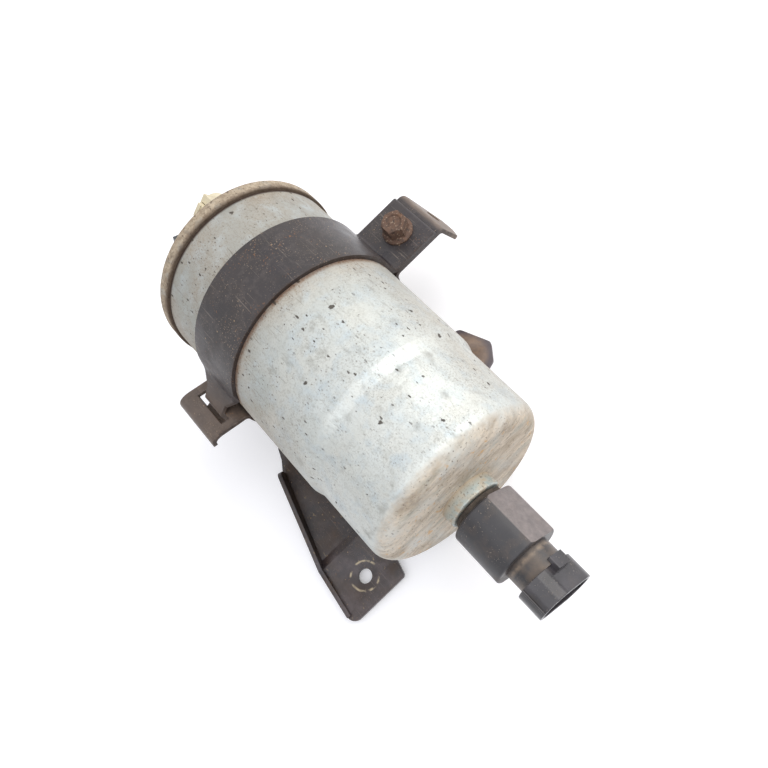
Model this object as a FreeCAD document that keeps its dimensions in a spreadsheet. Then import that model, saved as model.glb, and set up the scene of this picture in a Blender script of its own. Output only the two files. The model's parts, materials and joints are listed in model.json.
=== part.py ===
# Fuel filter in its clamp bracket, with quick connectors on its ports and a water sensor in its end.
#
# Millimetres. +X runs along the can from the ports to the sensor, +Y points to the bolted side of
# the clamp and +Z is up. The origin is on the base plate's underside, below the middle of the clamp.
import FreeCAD, Part
import Sketcher
import math
import os

Vector = FreeCAD.Vector
Rotation = FreeCAD.Rotation
Placement = FreeCAD.Placement

X_AXIS = Vector(1, 0, 0)
Y_AXIS = Vector(0, 1, 0)
Z_AXIS = Vector(0, 0, 1)
ORIGIN = Vector(0, 0, 0)
UPRIGHT = Rotation()
ALONG_X = Rotation(Y_AXIS, 90)
AGAINST_X = Rotation(Y_AXIS, -90)
UP_FROM_X = AGAINST_X

doc = FreeCAD.newDocument("FuelFilter")

# ---------------------------------------------------------------------------------------------
# Driving dimensions
# ---------------------------------------------------------------------------------------------
SIZES = {
    # can: a drawn shell whose closed end is narrower
    "can_radius": 43.0,
    "can_wall": 0.8,
    "can_length": 143.0,
    "narrow_radius": 41.4,
    "narrow_length": 39.0,
    "step_length": 4.3,
    "step_round": 4.0,
    "end_round": 7.5,
    "end_dome": 0.8,
    "clamp_to_rim": 36.9,
    # rolled rim and cover
    "rim_radius": 44.3,
    "rim_wall": 1.3,
    "rim_length": 6.0,
    "rim_neck": 5.0,
    "rim_hook": 1.0,
    "rim_round": 0.9,
    "cover_thickness": 1.5,
    "gasket_thickness": 1.0,
    "gasket_width": 3.0,
    # clamp: a strap over the can and a saddle under it
    "clamp_width": 27.4,
    "bend_radius": 2.0,
    "strap_thickness": 1.7,
    "strap_fit": 0.1,
    "strap_edge_round": 1.2,
    "strap_leave_angle": 19.0,
    "tongue_slope": 37.0,
    "tongue_width": 13.0,
    "tongue_shoulder": 7.0,
    "tongue_taper": 7.0,
    "tongue_drop": 2.6,
    "hook_turn": 75.0,
    "hook_length": 2.5,
    "saddle_thickness": 2.0,
    "saddle_fit": 0.1,
    "saddle_floor": 18.0,
    "ear_height": 0.8,
    "bolt_inset": 11.4,
    "ear_margin": 10.5,
    "wing_rise": 3.0,
    "wing_slope": 17.0,
    "wing_length": 11.5,
    "wing_turn_down": 29.0,
    "wing_lip_turn": 60.0,
    "wing_lip": 1.2,
    "slot_length": 19.0,
    "slot_width": 3.8,
    "slot_inset": 5.0,
    "slot_clearance": 0.4,
    # sloping side tab at the saddle's bolted ear
    "side_tab_angle": 66.0,
    "side_tab_length": 17.0,
    "side_tab_straight": 11.2,
    "side_tab_outer_end": 6.2,
    "side_tab_slant_start": 2.6,
    "side_tab_slant_end": 1.4,
    "side_tab_hole_radius": 3.5,
    "side_tab_hole_drop": 8.5,
    "side_tab_hole_side": -1.0,
    # base plate with its raised foot, its stiffening lips and its rear tab
    "base_thickness": 2.0,
    "base_back": 14.0,
    "foot_reach": 89.0,
    "foot_offset": 59.5,
    "foot_front": 13.0,
    "foot_outside": 19.0,
    "foot_inside": 14.0,
    "foot_corner": 4.0,
    "foot_raise": 2.4,
    "joggle_length": 4.5,
    "joggle_setback": 21.0,
    "foot_hole_radius": 3.5,
    "leg_back": 14.0,
    "leg_offset": 57.0,
    "leg_tail": 6.0,
    "lip_setback": 7.0,
    "lip_notch": 2.4,
    "lip_height": 8.0,
    "lip_foot_height": 2.5,
    "lip_end_height": 1.5,
    "rear_tab_reach": 43.0,
    "rear_tab_offset": 46.0,
    "rear_tab_radius": 14.5,
    "rear_tab_side_angle": 33.0,
    "rear_tab_crown_angle": 72.0,
    "rear_tab_round": 3.0,
    "rear_tab_hole_radius": 3.5,
    "weld_radius": 2.5,
    "weld_depth": 0.3,
    "weld_pitch": 16.0,
    # flange bolt and weld nut
    "bolt_radius": 3.0,
    "thread_gap": 0.05,
    "bolt_hole_gap": 0.4,
    "bolt_flats": 10.0,
    "bolt_head_height": 7.2,
    "bolt_head_chamfer": 0.8,
    "bolt_dish_radius": 3.6,
    "bolt_dish_depth": 0.5,
    "bolt_flange_radius": 6.9,
    "bolt_flange_height": 2.1,
    "bolt_flange_edge": 0.75,
    "bolt_length": 16.0,
    "bolt_seat_gap": 0.05,
    "nut_flats": 11.0,
    "nut_height": 6.0,
    # ports on the cover
    "spigot_radius": 4.0,
    "spigot_bore": 2.6,
    "spigot_length": 11.5,
    "spigot_inside": 1.5,
    "spigot_taper": 0.8,
    "spigot_bead": 0.8,
    "spigot_bead_width": 1.2,
    "spigot_tip": 3.0,
    "spigot_flange": 2.5,
    "spigot_flange_height": 1.2,
    "inlet_side": 7.8,
    "inlet_height": 26.4,
    "outlet_side": 12.5,
    "outlet_height": 22.0,
    # quick connectors on the ports
    "inlet_tilt": 27.0,
    "outlet_tilt": 26.0,
    "connector_gap": 0.5,
    "connector_running": 0.06,
    "socket_radius": 7.0,
    "socket_length": 17.0,
    "latch_width": 13.0,
    "latch_height": 11.2,
    "latch_length": 8.0,
    "latch_setback": 4.5,
    "barb_radius": 3.6,
    "barb_inset": 0.8,
    "barb_length": 20.0,
    "barb_bore": 2.2,
    "barb_ridge": 0.6,
    "barb_pitch": 4.0,
    "barb_land": 1.2,
    "button_width": 6.0,
    "button_length": 5.0,
    "button_stand": 2.2,
    "button_depth": 2.5,
    "button_gap": 0.3,
    "button_travel": 1.5,
    "button_grip": 0.6,
    "port_seal_gap": 0.03,
    "port_seal_depth": 3.0,
    # filter element
    "element_radius": 37.0,
    "element_start": 16.0,
    "element_length": 84.0,
    "pleat_root": 16.5,
    "pleat_sheet": 0.5,
    "cap_thickness": 1.2,
    "cap_rim": 3.0,
    "cap_overlap": 1.0,
    "tube_radius": 14.5,
    "tube_wall": 0.8,
    "tube_hole_radius": 2.2,
    "tube_hole_pitch": 12.0,
    "neck_radius": 8.0,
    "neck_wall": 1.0,
    "neck_length": 6.0,
    "element_seal_section": 1.6,
    "duct_height": 9.5,
    "duct_width": 13.0,
    "duct_wall": 1.2,
    "spring_wire": 1.8,
    "spring_radius": 22.0,
    "spring_turns": 3.0,
    "spring_gap": 0.1,
    # threaded collar in the closed end
    "collar_radius": 12.0,
    "collar_fit": 0.05,
    "collar_length": 6.4,
    "collar_flange_radius": 16.0,
    "collar_flange": 1.4,
    "collar_margin": 2.0,
    "collar_round": 1.0,
    # water sensor
    "stem_radius": 8.0,
    "stem_running": 0.08,
    "stem_tail": 1.5,
    "seal_gap": 0.3,
    "sensor_seal_radius": 11.0,
    "sensor_seal_width": 2.6,
    "barrel_radius": 14.5,
    "barrel_length": 24.0,
    "barrel_wall": 2.2,
    "barrel_flat": 12.6,
    "barrel_round": 1.0,
    "neck_outer": 10.0,
    "neck_inner": 8.2,
    "sensor_neck_length": 9.0,
    "shroud_angle": 50.4,
    "shroud_length": 11.3,
    "shroud_long": 14.3,
    "shroud_short": 8.3,
    "shroud_wall": 1.4,
    "shroud_depth": 9.0,
    "catch_width": 8.0,
    "catch_height": 2.6,
    "catch_length": 3.3,
    "catch_overhang": 2.2,
    "rib_width": 1.0,
    "rib_height": 0.6,
    "terminal_width": 2.8,
    "terminal_thickness": 0.8,
    "terminal_pitch": 6.0,
    "terminal_reach": 6.5,
    "terminal_tail": 17.0,
    "board_width": 18.0,
    "board_length": 14.0,
    "board_thickness": 1.4,
    "board_overlap": 3.0,
    "board_hole_inset": 2.8,
    "probe_radius": 3.0,
    "probe_length": 24.0,
    "reed_bore": 1.3,
    "reed_radius": 1.2,
    "probe_wall": 1.2,
    "reed_length": 14.0,
    "float_radius": 7.2,
    "float_running": 0.08,
    "float_length": 12.0,
    "float_gap": 0.3,
    "float_travel": 9.0,
    "magnet_radius": 6.2,
    "magnet_bore": 4.2,
    "magnet_length": 3.0,
    "stop_radius": 5.0,
    "stop_thickness": 1.2,
}
PLEATS = 48
BARB_RIDGES = 3
TERMINALS = {"terminal_power": -1, "terminal_signal": 0, "terminal_ground": 1}

sheet = doc.addObject("Spreadsheet::Sheet", "Sizes")
for row, (alias, number) in enumerate(SIZES.items(), start=1):
    sheet.set(f"A{row}", alias)
    sheet.set(f"B{row}", str(number))
    sheet.setAlias(f"B{row}", alias)
doc.recompute()

# ---------------------------------------------------------------------------------------------
# Places worked out from the driving dimensions. Distances along the can count from its open end.
# ---------------------------------------------------------------------------------------------
PLACES = {
    "axis_height":
        "Sizes.can_radius + Sizes.saddle_fit + Sizes.saddle_thickness + Sizes.base_thickness",
    "rim_x": "-Sizes.clamp_to_rim",
    "clamp_half": "Sizes.clamp_width / 2",
    "saddle_inner": "Sizes.can_radius + Sizes.saddle_fit",
    "strap_inner": "Sizes.can_radius + Sizes.strap_fit",
    "ear_top": "Places.axis_height + Sizes.ear_height",
    "ear_start": "Places.saddle_inner + Sizes.saddle_thickness + Sizes.bend_radius",
    "bolt_y": "Places.ear_start + Sizes.bolt_inset",
    "ear_end": "Places.bolt_y + Sizes.ear_margin",
    "head_seat": "Places.ear_top + Sizes.strap_thickness + Sizes.bolt_seat_gap",
    "bolt_hole": "Sizes.bolt_radius + Sizes.bolt_hole_gap",
    "can_inner": "Sizes.can_radius - Sizes.can_wall",
    "seam_radius": "Sizes.rim_radius - Sizes.rim_wall",
    "seam_inner": "Places.seam_radius - Sizes.can_wall",
    "cover_face": "-Sizes.cover_thickness",
    "cover_lip": "Places.seam_inner - Sizes.cover_thickness",
    "seam_start": "Sizes.rim_hook - Sizes.rim_length",
    "step_end": "Sizes.can_length - Sizes.narrow_length",
    "step_start": "Places.step_end - Sizes.step_length",
    "end_face": "Sizes.can_length + Sizes.end_dome",
    "end_inside": "Places.end_face - Sizes.can_wall",
    "end_flat": "Sizes.collar_flange_radius + Sizes.collar_margin",
    "collar_hole": "Sizes.collar_radius + Sizes.collar_fit",
    "collar_back": "Places.end_inside - Sizes.collar_flange",
    "collar_face": "Places.end_face + Sizes.collar_length",
    "seal_start": "Places.collar_face + Sizes.seal_gap",
    "seal_end": "Places.seal_start + Sizes.sensor_seal_width",
    "barrel_start": "Places.seal_end + Sizes.seal_gap",
    "barrel_end": "Places.barrel_start + Sizes.barrel_length",
    "barrel_cavity": "Sizes.barrel_flat - Sizes.barrel_wall",
    "shroud_start": "Places.barrel_end + Sizes.sensor_neck_length",
    "shroud_end": "Places.shroud_start + Sizes.shroud_length",
    "shroud_floor": "Places.shroud_end - Sizes.shroud_depth",
    "terminal_start": "Places.shroud_floor - Sizes.terminal_tail",
    "stem_start": "Places.collar_back - Sizes.stem_tail",
    "probe_tip": "Places.stem_start - Sizes.probe_length",
    "float_end": "Places.stem_start - Sizes.float_gap",
    "float_start": "Places.float_end - Sizes.float_length",
    "stop_end": "Places.float_start - Sizes.float_travel - Sizes.float_gap",
    "stop_start": "Places.stop_end - Sizes.stop_thickness",
    "element_end": "Sizes.element_start + Sizes.element_length",
    "cap_radius": "Sizes.element_radius + Sizes.cap_overlap",
    "top_cap_face": "Sizes.element_start - Sizes.cap_thickness",
    "bottom_cap_face": "Places.element_end + Sizes.cap_thickness",
    "neck_tip": "Places.top_cap_face - Sizes.neck_length",
    "duct_bore": "Sizes.neck_radius + Sizes.element_seal_section",
    "outlet_reach": "sqrt(Sizes.outlet_side ^ 2 + Sizes.outlet_height ^ 2)",
    "outlet_bearing": "atan2(Sizes.outlet_side; Sizes.outlet_height)",
    "spring_length":
        "Places.end_inside - Places.bottom_cap_face - Sizes.spring_wire - 2 * Sizes.spring_gap",
    "tip_depth": "Sizes.spigot_length - Sizes.spigot_flange_height - Sizes.connector_gap",
    "bead_depth": "Places.tip_depth - Sizes.spigot_tip",
    "socket_mouth":
        "-Sizes.cover_thickness - Sizes.spigot_flange_height - Sizes.connector_gap",
    "bead_bore": "Sizes.spigot_radius + Sizes.spigot_bead + Sizes.connector_running",
    "barb_x": "Sizes.barb_radius + Sizes.barb_inset - Sizes.socket_length",
    "barb_tip": "-Sizes.socket_radius - Sizes.barb_length",
    "latch_end": "-Sizes.latch_setback - Sizes.latch_length",
    "latch_middle": "Places.latch_end + Sizes.latch_length / 2",
    "pocket_floor":
        "Sizes.latch_height - Sizes.button_depth - Sizes.button_travel - Sizes.button_gap",
    "port_seal_radius": "(Sizes.spigot_radius + Places.bead_bore) / 2",
    "port_seal_section": "(Places.bead_bore - Sizes.spigot_radius) / 2 - Sizes.port_seal_gap",
    "foot_left": "Sizes.foot_offset + Sizes.foot_outside",
    "foot_right": "Sizes.foot_offset - Sizes.foot_inside",
    "foot_end": "Sizes.foot_reach + Sizes.foot_front",
    "joggle_end": "Sizes.foot_reach - Sizes.joggle_setback + Sizes.joggle_length",
    "joggle_start": "Sizes.foot_reach - Sizes.joggle_setback",
    "kink_x": "Places.joggle_end",
    "kink_y": "Places.foot_left - Sizes.foot_corner",
    "leg_run": "Places.kink_x - Sizes.leg_back",
    "leg_spread": "Places.kink_y - Sizes.leg_offset",
    "leg_length": "sqrt(Places.leg_run ^ 2 + Places.leg_spread ^ 2)",
    "leg_bearing": "atan2(Places.leg_spread; Places.leg_run)",
    "lip_x": "Sizes.leg_back + Sizes.lip_setback * cos(Places.leg_bearing)",
    "lip_y": "Sizes.leg_offset + Sizes.lip_setback * sin(Places.leg_bearing)",
    "lip_length": "Places.leg_length - Sizes.lip_setback",
    "foot_run": "Places.foot_end - Places.kink_x",
    "foot_lip_length": "sqrt(Places.foot_run ^ 2 + Sizes.foot_corner ^ 2) - Sizes.foot_corner",
    "foot_bearing": "atan2(Sizes.foot_corner; Places.foot_run)",
}

places = doc.addObject("App::VarSet", "Places")
for name, rule in PLACES.items():
    places.addProperty("App::PropertyFloat", name, "Places")
    places.setExpression(name, rule)
doc.recompute()

nodes = {}


def size(name):
    """Reads one driving dimension as a number."""
    return float(sheet.get(name))


def place(name):
    """Reads one worked-out place as a number."""
    return float(getattr(places, name))


def keep(name, piece):
    """Registers a finished sub-part under the name of its file."""
    piece.Label = name
    nodes[name] = piece
    return piece


def put(piece, at, turn_about=None, angle=None, rotation=UPRIGHT):
    """Places a piece at three rules, either at a fixed rotation or turned about an axis by a rule."""
    if turn_about is not None:
        rotation = Rotation(turn_about, 1)
    piece.Placement = Placement(ORIGIN, rotation)
    for letter, rule in zip("xyz", at):
        piece.setExpression(f"Placement.Base.{letter}", rule)
    if turn_about is not None:
        piece.setExpression("Placement.Rotation.Angle", angle)
    return piece


def can_point(along="0", side="0", height="0"):
    """A point measured from the centre of the can's open end."""
    return (f"Places.rim_x + {along}", side, f"Places.axis_height + {height}")


# ---------------------------------------------------------------------------------------------
# Ways of making a piece
# ---------------------------------------------------------------------------------------------
def origin_part(body, role):
    """Finds one of a body's own origin planes or axes."""
    return [part for part in body.Origin.OriginFeatures if part.Role == role][0]


def outline_sketch(body, label, plane, corners):
    """Draws a closed outline through corners given as pairs of rules."""
    sketch = body.newObject("Sketcher::SketchObject", label)
    sketch.AttachmentSupport = [(origin_part(body, plane), "")]
    sketch.MapMode = "FlatFace"
    count = len(corners)
    ring = [Vector(math.cos(2 * math.pi * i / count), math.sin(2 * math.pi * i / count), 0) * 50
            for i in range(count)]
    for i in range(count):
        sketch.addGeometry(Part.LineSegment(ring[i], ring[(i + 1) % count]), False)
    for i in range(count):
        sketch.addConstraint(Sketcher.Constraint("Coincident", i, 2, (i + 1) % count, 1))
    for i, (across, up) in enumerate(corners):
        for kind, letter, rule, start in (("DistanceX", "a", across, ring[i].x),
                                          ("DistanceY", "b", up, ring[i].y)):
            index = sketch.addConstraint(Sketcher.Constraint(kind, -1, 1, i, 1, start))
            sketch.renameConstraint(index, f"{letter}{i}")
            sketch.setExpression(f"Constraints.{letter}{i}", rule)
    doc.recompute()
    return sketch


def turned(label, corners, rounds=None):
    """Turns an outline of (along, radius) corners about the X axis and rounds chosen corners."""
    body = doc.addObject("PartDesign::Body", label)
    sketch = outline_sketch(body, label + "_outline", "XZ_Plane", corners)
    feature = body.newObject("PartDesign::Revolution", label + "_turn")
    feature.Profile = sketch
    feature.ReferenceAxis = (origin_part(body, "X_Axis"), [""])
    feature.Angle = 360
    doc.recompute()
    for radius, picked in (rounds or {}).items():
        spots = [sketch.Geometry[i].StartPoint for i in picked]
        names = [f"Edge{number}" for number, edge in enumerate(feature.Shape.Edges, start=1)
                 if ring_edge(edge, spots)]
        fillet = body.newObject("PartDesign::Fillet", f"{label}_round_{picked[0]}")
        fillet.Base = (feature, names)
        fillet.setExpression("Radius", radius)
        doc.recompute()
        feature = fillet
    return body


def ring_edge(edge, spots):
    """Says whether an edge is a full ring at one of the (along, radius) spots."""
    if not isinstance(edge.Curve, Part.Circle):
        return False
    return any(abs(edge.Curve.Center.x - spot.x) < 1e-4 and abs(edge.Curve.Radius - spot.y) < 1e-4
               for spot in spots)


def padded(label, plane, corners, length, middle=False, rounds=None):
    """Pads an outline of corners and rounds the chosen upright corners."""
    body = doc.addObject("PartDesign::Body", label)
    sketch = outline_sketch(body, label + "_outline", plane, corners)
    feature = body.newObject("PartDesign::Pad", label + "_pad")
    feature.Profile = sketch
    feature.Midplane = middle
    feature.setExpression("Length", length)
    doc.recompute()
    for radius, picked in (rounds or {}).items():
        spots = [sketch.Geometry[i].StartPoint for i in picked]
        names = [f"Edge{number}" for number, edge in enumerate(feature.Shape.Edges, start=1)
                 if upright_edge(edge, spots)]
        fillet = body.newObject("PartDesign::Fillet", f"{label}_round_{picked[0]}")
        fillet.Base = (feature, names)
        fillet.setExpression("Radius", radius)
        doc.recompute()
        feature = fillet
    return body


def upright_edge(edge, spots):
    """Says whether an edge stands up in Z at one of the (x, y) spots."""
    low, high = edge.Vertexes[0].Point, edge.Vertexes[-1].Point
    if abs(low.x - high.x) > 1e-4 or abs(low.y - high.y) > 1e-4:
        return False
    return any(abs(low.x - spot.x) < 1e-4 and abs(low.y - spot.y) < 1e-4 for spot in spots)


def cylinder(label, radius, length, at=("0", "0", "0"), rotation=ALONG_X):
    """A cylinder from a point, along X unless another rotation is given."""
    piece = doc.addObject("Part::Cylinder", label)
    piece.setExpression("Radius", radius)
    piece.setExpression("Height", length)
    return put(piece, at, rotation=rotation)


def cone(label, low_radius, high_radius, height, at):
    """An upright cone between two radii."""
    piece = doc.addObject("Part::Cone", label)
    piece.setExpression("Radius1", low_radius)
    piece.setExpression("Radius2", high_radius)
    piece.setExpression("Height", height)
    return put(piece, at)


def box(label, lengths, at):
    """A box whose low corner is at a point."""
    piece = doc.addObject("Part::Box", label)
    for side, rule in zip(("Length", "Width", "Height"), lengths):
        piece.setExpression(side, rule)
    return put(piece, at)


def ring(label, radius, section, at):
    """A round-section ring about the X direction."""
    piece = doc.addObject("Part::Torus", label)
    piece.setExpression("Radius1", radius)
    piece.setExpression("Radius2", section)
    return put(piece, at, rotation=ALONG_X)


def hexagon(label, flats, height, at):
    """An upright hexagonal prism measured across its flats."""
    piece = doc.addObject("Part::Prism", label)
    piece.Polygon = 6
    piece.setExpression("Circumradius", f"{flats} / 2 / cos(30)")
    piece.setExpression("Height", height)
    return put(piece, at)


def fuse(label, pieces):
    """Joins pieces into one solid."""
    joined = doc.addObject("Part::MultiFuse", label)
    joined.Shapes = pieces
    joined.Refine = True
    return joined


def cut(label, base, tools):
    """Takes one or more tools away from a base."""
    left = doc.addObject("Part::Cut", label)
    left.Base = base
    left.Tool = tools[0] if len(tools) == 1 else fuse(label + "_tools", tools)
    left.Refine = True
    return left


def common(label, base, tool):
    """Keeps what two pieces share."""
    shared = doc.addObject("Part::Common", label)
    shared.Base = base
    shared.Tool = tool
    shared.Refine = True
    return shared


def bent_sheet(start, heading, steps, thickness, side):
    """Draws a bent sheet seen end on: a face across the clamp, and where each step ends.

    The near face starts at a (y, z) point and runs towards a heading in degrees, where 0 is +Y
    and 90 is +Z. A step is ("flat", length) or ("bend", near radius, degrees), and a positive bend
    turns left. The metal lies to the left of the near face for side 1 and to its right for -1.
    """
    left_edge = -place("clamp_half")
    here = Vector(left_edge, *start)
    near = []
    far = []
    ends = []

    def direction(degrees):
        return Vector(0, math.cos(math.radians(degrees)), math.sin(math.radians(degrees)))

    def offset(point, degrees):
        return point + direction(degrees + 90) * side * thickness

    for step in steps:
        if step[0] == "flat":
            there = here + direction(heading) * step[1]
            near.append(Part.makeLine(here, there))
            far.append(Part.makeLine(offset(here, heading), offset(there, heading)))
        else:
            radius, degrees = step[1:]
            turn = math.copysign(1, degrees)
            centre = here + direction(heading + 90) * turn * radius
            spokes = [heading - 90 * turn + degrees * share for share in (0, 0.5, 1)]
            far_radius = radius - side * turn * thickness
            near.append(Part.Arc(*[centre + direction(spoke) * radius for spoke in spokes]).toShape())
            far.append(Part.Arc(*[centre + direction(spoke) * far_radius
                                  for spoke in spokes]).toShape())
            there = centre + direction(spokes[2]) * radius
            heading += degrees
        here = there
        ends.append((here, heading))
    start_cap = Part.makeLine(far[0].Vertexes[0].Point, near[0].Vertexes[0].Point)
    end_cap = Part.makeLine(near[-1].Vertexes[-1].Point, far[-1].Vertexes[-1].Point)
    wire = Part.Wire(Part.__sortEdges__(near + [end_cap] + far + [start_cap]))
    return Part.Face(wire), ends


def plan_prism(corners, low, high):
    """An upright prism over (x, y) corners between two heights."""
    points = [Vector(x, y, low) for x, y in corners]
    face = Part.Face(Part.makePolygon(points + points[:1]))
    return face.extrude(Vector(0, 0, high - low))


def shaped(label, shape):
    """Holds a shape that the folding code has drawn."""
    piece = doc.addObject("Part::Feature", label)
    piece.Shape = shape
    return piece


# ---------------------------------------------------------------------------------------------
# Can, rolled rim, cover and gasket
# ---------------------------------------------------------------------------------------------
def make_can():
    shell = turned("can_shell", [
        ("Places.seam_start", "Places.seam_radius"),
        ("Sizes.gasket_thickness", "Places.seam_radius"),
        ("Sizes.rim_neck", "Sizes.can_radius"),
        ("Places.step_start", "Sizes.can_radius"),
        ("Places.step_end", "Sizes.narrow_radius"),
        ("Sizes.can_length", "Sizes.narrow_radius"),
        ("Places.end_face", "Places.end_flat"),
        ("Places.end_face", "Places.collar_hole"),
        ("Places.end_inside", "Places.collar_hole"),
        ("Places.end_inside", "Places.end_flat"),
        ("Sizes.can_length - Sizes.can_wall", "Sizes.narrow_radius - Sizes.can_wall"),
        ("Places.step_end", "Sizes.narrow_radius - Sizes.can_wall"),
        ("Places.step_start", "Places.can_inner"),
        ("Sizes.rim_neck", "Places.can_inner"),
        ("Sizes.gasket_thickness", "Places.seam_inner"),
        ("Places.seam_start", "Places.seam_inner"),
    ], {"Sizes.end_round": [5], "Sizes.end_round - Sizes.can_wall": [10], "Sizes.step_round": [3, 4]})
    keep("can_shell", put(shell, can_point()))

    seam = turned("rolled_rim", [
        ("0", "Places.seam_radius"),
        ("0", "Sizes.rim_radius"),
        ("-Sizes.rim_length", "Sizes.rim_radius"),
        ("-Sizes.rim_length", "Places.cover_lip"),
        ("Places.seam_start", "Places.cover_lip"),
        ("Places.seam_start", "Places.seam_radius"),
    ], {"Sizes.rim_round": [2], "Sizes.rim_round / 2": [1, 3]})
    keep("rolled_rim", put(seam, can_point()))

    plate = turned("cover_plate_blank", [
        ("0", "0"),
        ("0", "Places.seam_inner"),
        ("Places.seam_start", "Places.seam_inner"),
        ("Places.seam_start", "Places.cover_lip"),
        ("-Sizes.cover_thickness", "Places.cover_lip"),
        ("-Sizes.cover_thickness", "0"),
    ])
    holes = [cylinder(f"{port}_port_hole", "Sizes.spigot_radius", "2 * Sizes.cover_thickness",
                      ("-1.5 * Sizes.cover_thickness", side, height))
             for port, (side, height) in PORTS.items()]
    keep("cover_plate", put(cut("cover_plate", plate, holes), can_point()))

    gasket = turned("cover_gasket", [
        ("0", "Places.seam_inner"),
        ("Sizes.gasket_thickness", "Places.seam_inner"),
        ("Sizes.gasket_thickness", "Places.seam_inner - Sizes.gasket_width"),
        ("0", "Places.seam_inner - Sizes.gasket_width"),
    ])
    keep("cover_gasket", put(gasket, can_point()))


PORTS = {
    "inlet": ("Sizes.inlet_side", "Sizes.inlet_height"),
    "outlet": ("-Sizes.outlet_side", "Sizes.outlet_height"),
}
TILTS = {"inlet": "Sizes.inlet_tilt", "outlet": "-Sizes.outlet_tilt"}


# ---------------------------------------------------------------------------------------------
# Ports: a spigot through the cover and a quick connector on it
# ---------------------------------------------------------------------------------------------
def make_spigot(port):
    side, height = PORTS[port]
    bead_end = "Sizes.spigot_tip - Sizes.spigot_length"
    bead_start = bead_end + " + Sizes.spigot_bead_width"
    spigot = turned(f"{port}_spigot", [
        ("Sizes.cover_thickness + Sizes.spigot_inside", "Sizes.spigot_bore"),
        ("Sizes.cover_thickness + Sizes.spigot_inside", "Sizes.spigot_radius"),
        ("0", "Sizes.spigot_radius"),
        ("0", "Sizes.spigot_radius + Sizes.spigot_flange"),
        ("-Sizes.spigot_flange_height", "Sizes.spigot_radius + Sizes.spigot_flange"),
        ("-Sizes.spigot_flange_height", "Sizes.spigot_radius"),
        (bead_start, "Sizes.spigot_radius"),
        (bead_start, "Sizes.spigot_radius + Sizes.spigot_bead"),
        (bead_end, "Sizes.spigot_radius + Sizes.spigot_bead"),
        (bead_end, "Sizes.spigot_radius"),
        ("Sizes.spigot_taper - Sizes.spigot_length", "Sizes.spigot_radius"),
        ("-Sizes.spigot_length", "Sizes.spigot_radius - Sizes.spigot_taper"),
        ("-Sizes.spigot_length", "Sizes.spigot_bore"),
    ])
    keep(f"{port}_spigot", put(spigot, can_point("Places.cover_face", side, height)))


def place_on_port(piece, port):
    """Stands a piece, made about the X axis from the socket's mouth, on its port."""
    side, height = PORTS[port]
    return put(piece, can_point("Places.socket_mouth", side, height), X_AXIS, TILTS[port])


def make_connector(port):
    def named(part):
        return f"{port}_{part}"

    solids = [
        cylinder(named("socket"), "Sizes.socket_radius", "Sizes.socket_length", rotation=AGAINST_X),
        box(named("latch"), ("Sizes.latch_length", "Sizes.latch_width", "Sizes.latch_height"),
            ("Places.latch_end", "-Sizes.latch_width / 2", "0")),
        cylinder(named("barb"), "Sizes.barb_radius", "-Places.barb_tip",
                 ("Places.barb_x", "0", "Places.barb_tip"), UPRIGHT),
    ]
    for count in range(BARB_RIDGES):
        low = f"Places.barb_tip + {count} * Sizes.barb_pitch"
        solids.append(cone(named(f"barb_ridge_{count}"), "Sizes.barb_radius - Sizes.barb_ridge / 2",
                           "Sizes.barb_radius + Sizes.barb_ridge", "Sizes.barb_pitch - Sizes.barb_land",
                           ("Places.barb_x", "0", low)))
    spaces = [
        cylinder(named("bead_bore"), "Places.bead_bore",
                 "Places.bead_depth + Sizes.button_gap", rotation=AGAINST_X),
        cylinder(named("tip_bore"), "Sizes.spigot_radius + Sizes.connector_running",
                 "Places.tip_depth + Sizes.button_gap", rotation=AGAINST_X),
        cylinder(named("passage"), "Sizes.spigot_bore", "-Places.barb_x", rotation=AGAINST_X),
        cylinder(named("hose_bore"), "Sizes.barb_bore", "-Places.barb_tip",
                 ("Places.barb_x", "0", "Places.barb_tip"), UPRIGHT),
        box(named("button_pocket"),
            ("Sizes.button_length + 2 * Sizes.button_gap", "Sizes.button_width + 2 * Sizes.button_gap",
             "Sizes.latch_height"),
            ("Places.latch_middle - Sizes.button_length / 2 - Sizes.button_gap",
             "-Sizes.button_width / 2 - Sizes.button_gap", "Places.pocket_floor")),
    ]
    body = cut(named("connector"), fuse(named("connector_solid"), solids), spaces)
    keep(named("connector"), place_on_port(body, port))

    button = box(named("button_block"),
                 ("Sizes.button_length", "Sizes.button_width",
                  "Sizes.button_stand + Sizes.button_depth"),
                 ("Places.latch_middle - Sizes.button_length / 2", "-Sizes.button_width / 2",
                  "Sizes.latch_height - Sizes.button_depth"))
    grip = box(named("button_grip"),
               ("Sizes.button_grip", "Sizes.button_width", "Sizes.button_stand + Sizes.button_grip"),
               ("Places.latch_middle - Sizes.button_grip / 2", "-Sizes.button_width / 2",
                "Sizes.latch_height"))
    keep(named("release_button"), place_on_port(fuse(named("button_whole"), [button, grip]), port))

    side, height = PORTS[port]
    seal = ring(named("connector_seal"), "Places.port_seal_radius", "Places.port_seal_section",
                can_point("Places.socket_mouth - Sizes.port_seal_depth", side, height))
    keep(named("connector_seal"), seal)


def pleat_wire(radii, half_angles):
    """A closed zigzag whose folds alternate between two radii, each with its own half angle."""
    start = size("element_start")
    pitch = 2 * math.pi / PLEATS
    points = []
    for fold in range(PLEATS):
        for share, radius, half in ((0, radii[0], half_angles[0]), (0.5, radii[1], half_angles[1])):
            middle = (fold + share) * pitch
            for angle in (middle - half, middle + half):
                points.append(Vector(start, radius * math.cos(angle), radius * math.sin(angle)))
    return Part.makePolygon(points + points[:1])


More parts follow.
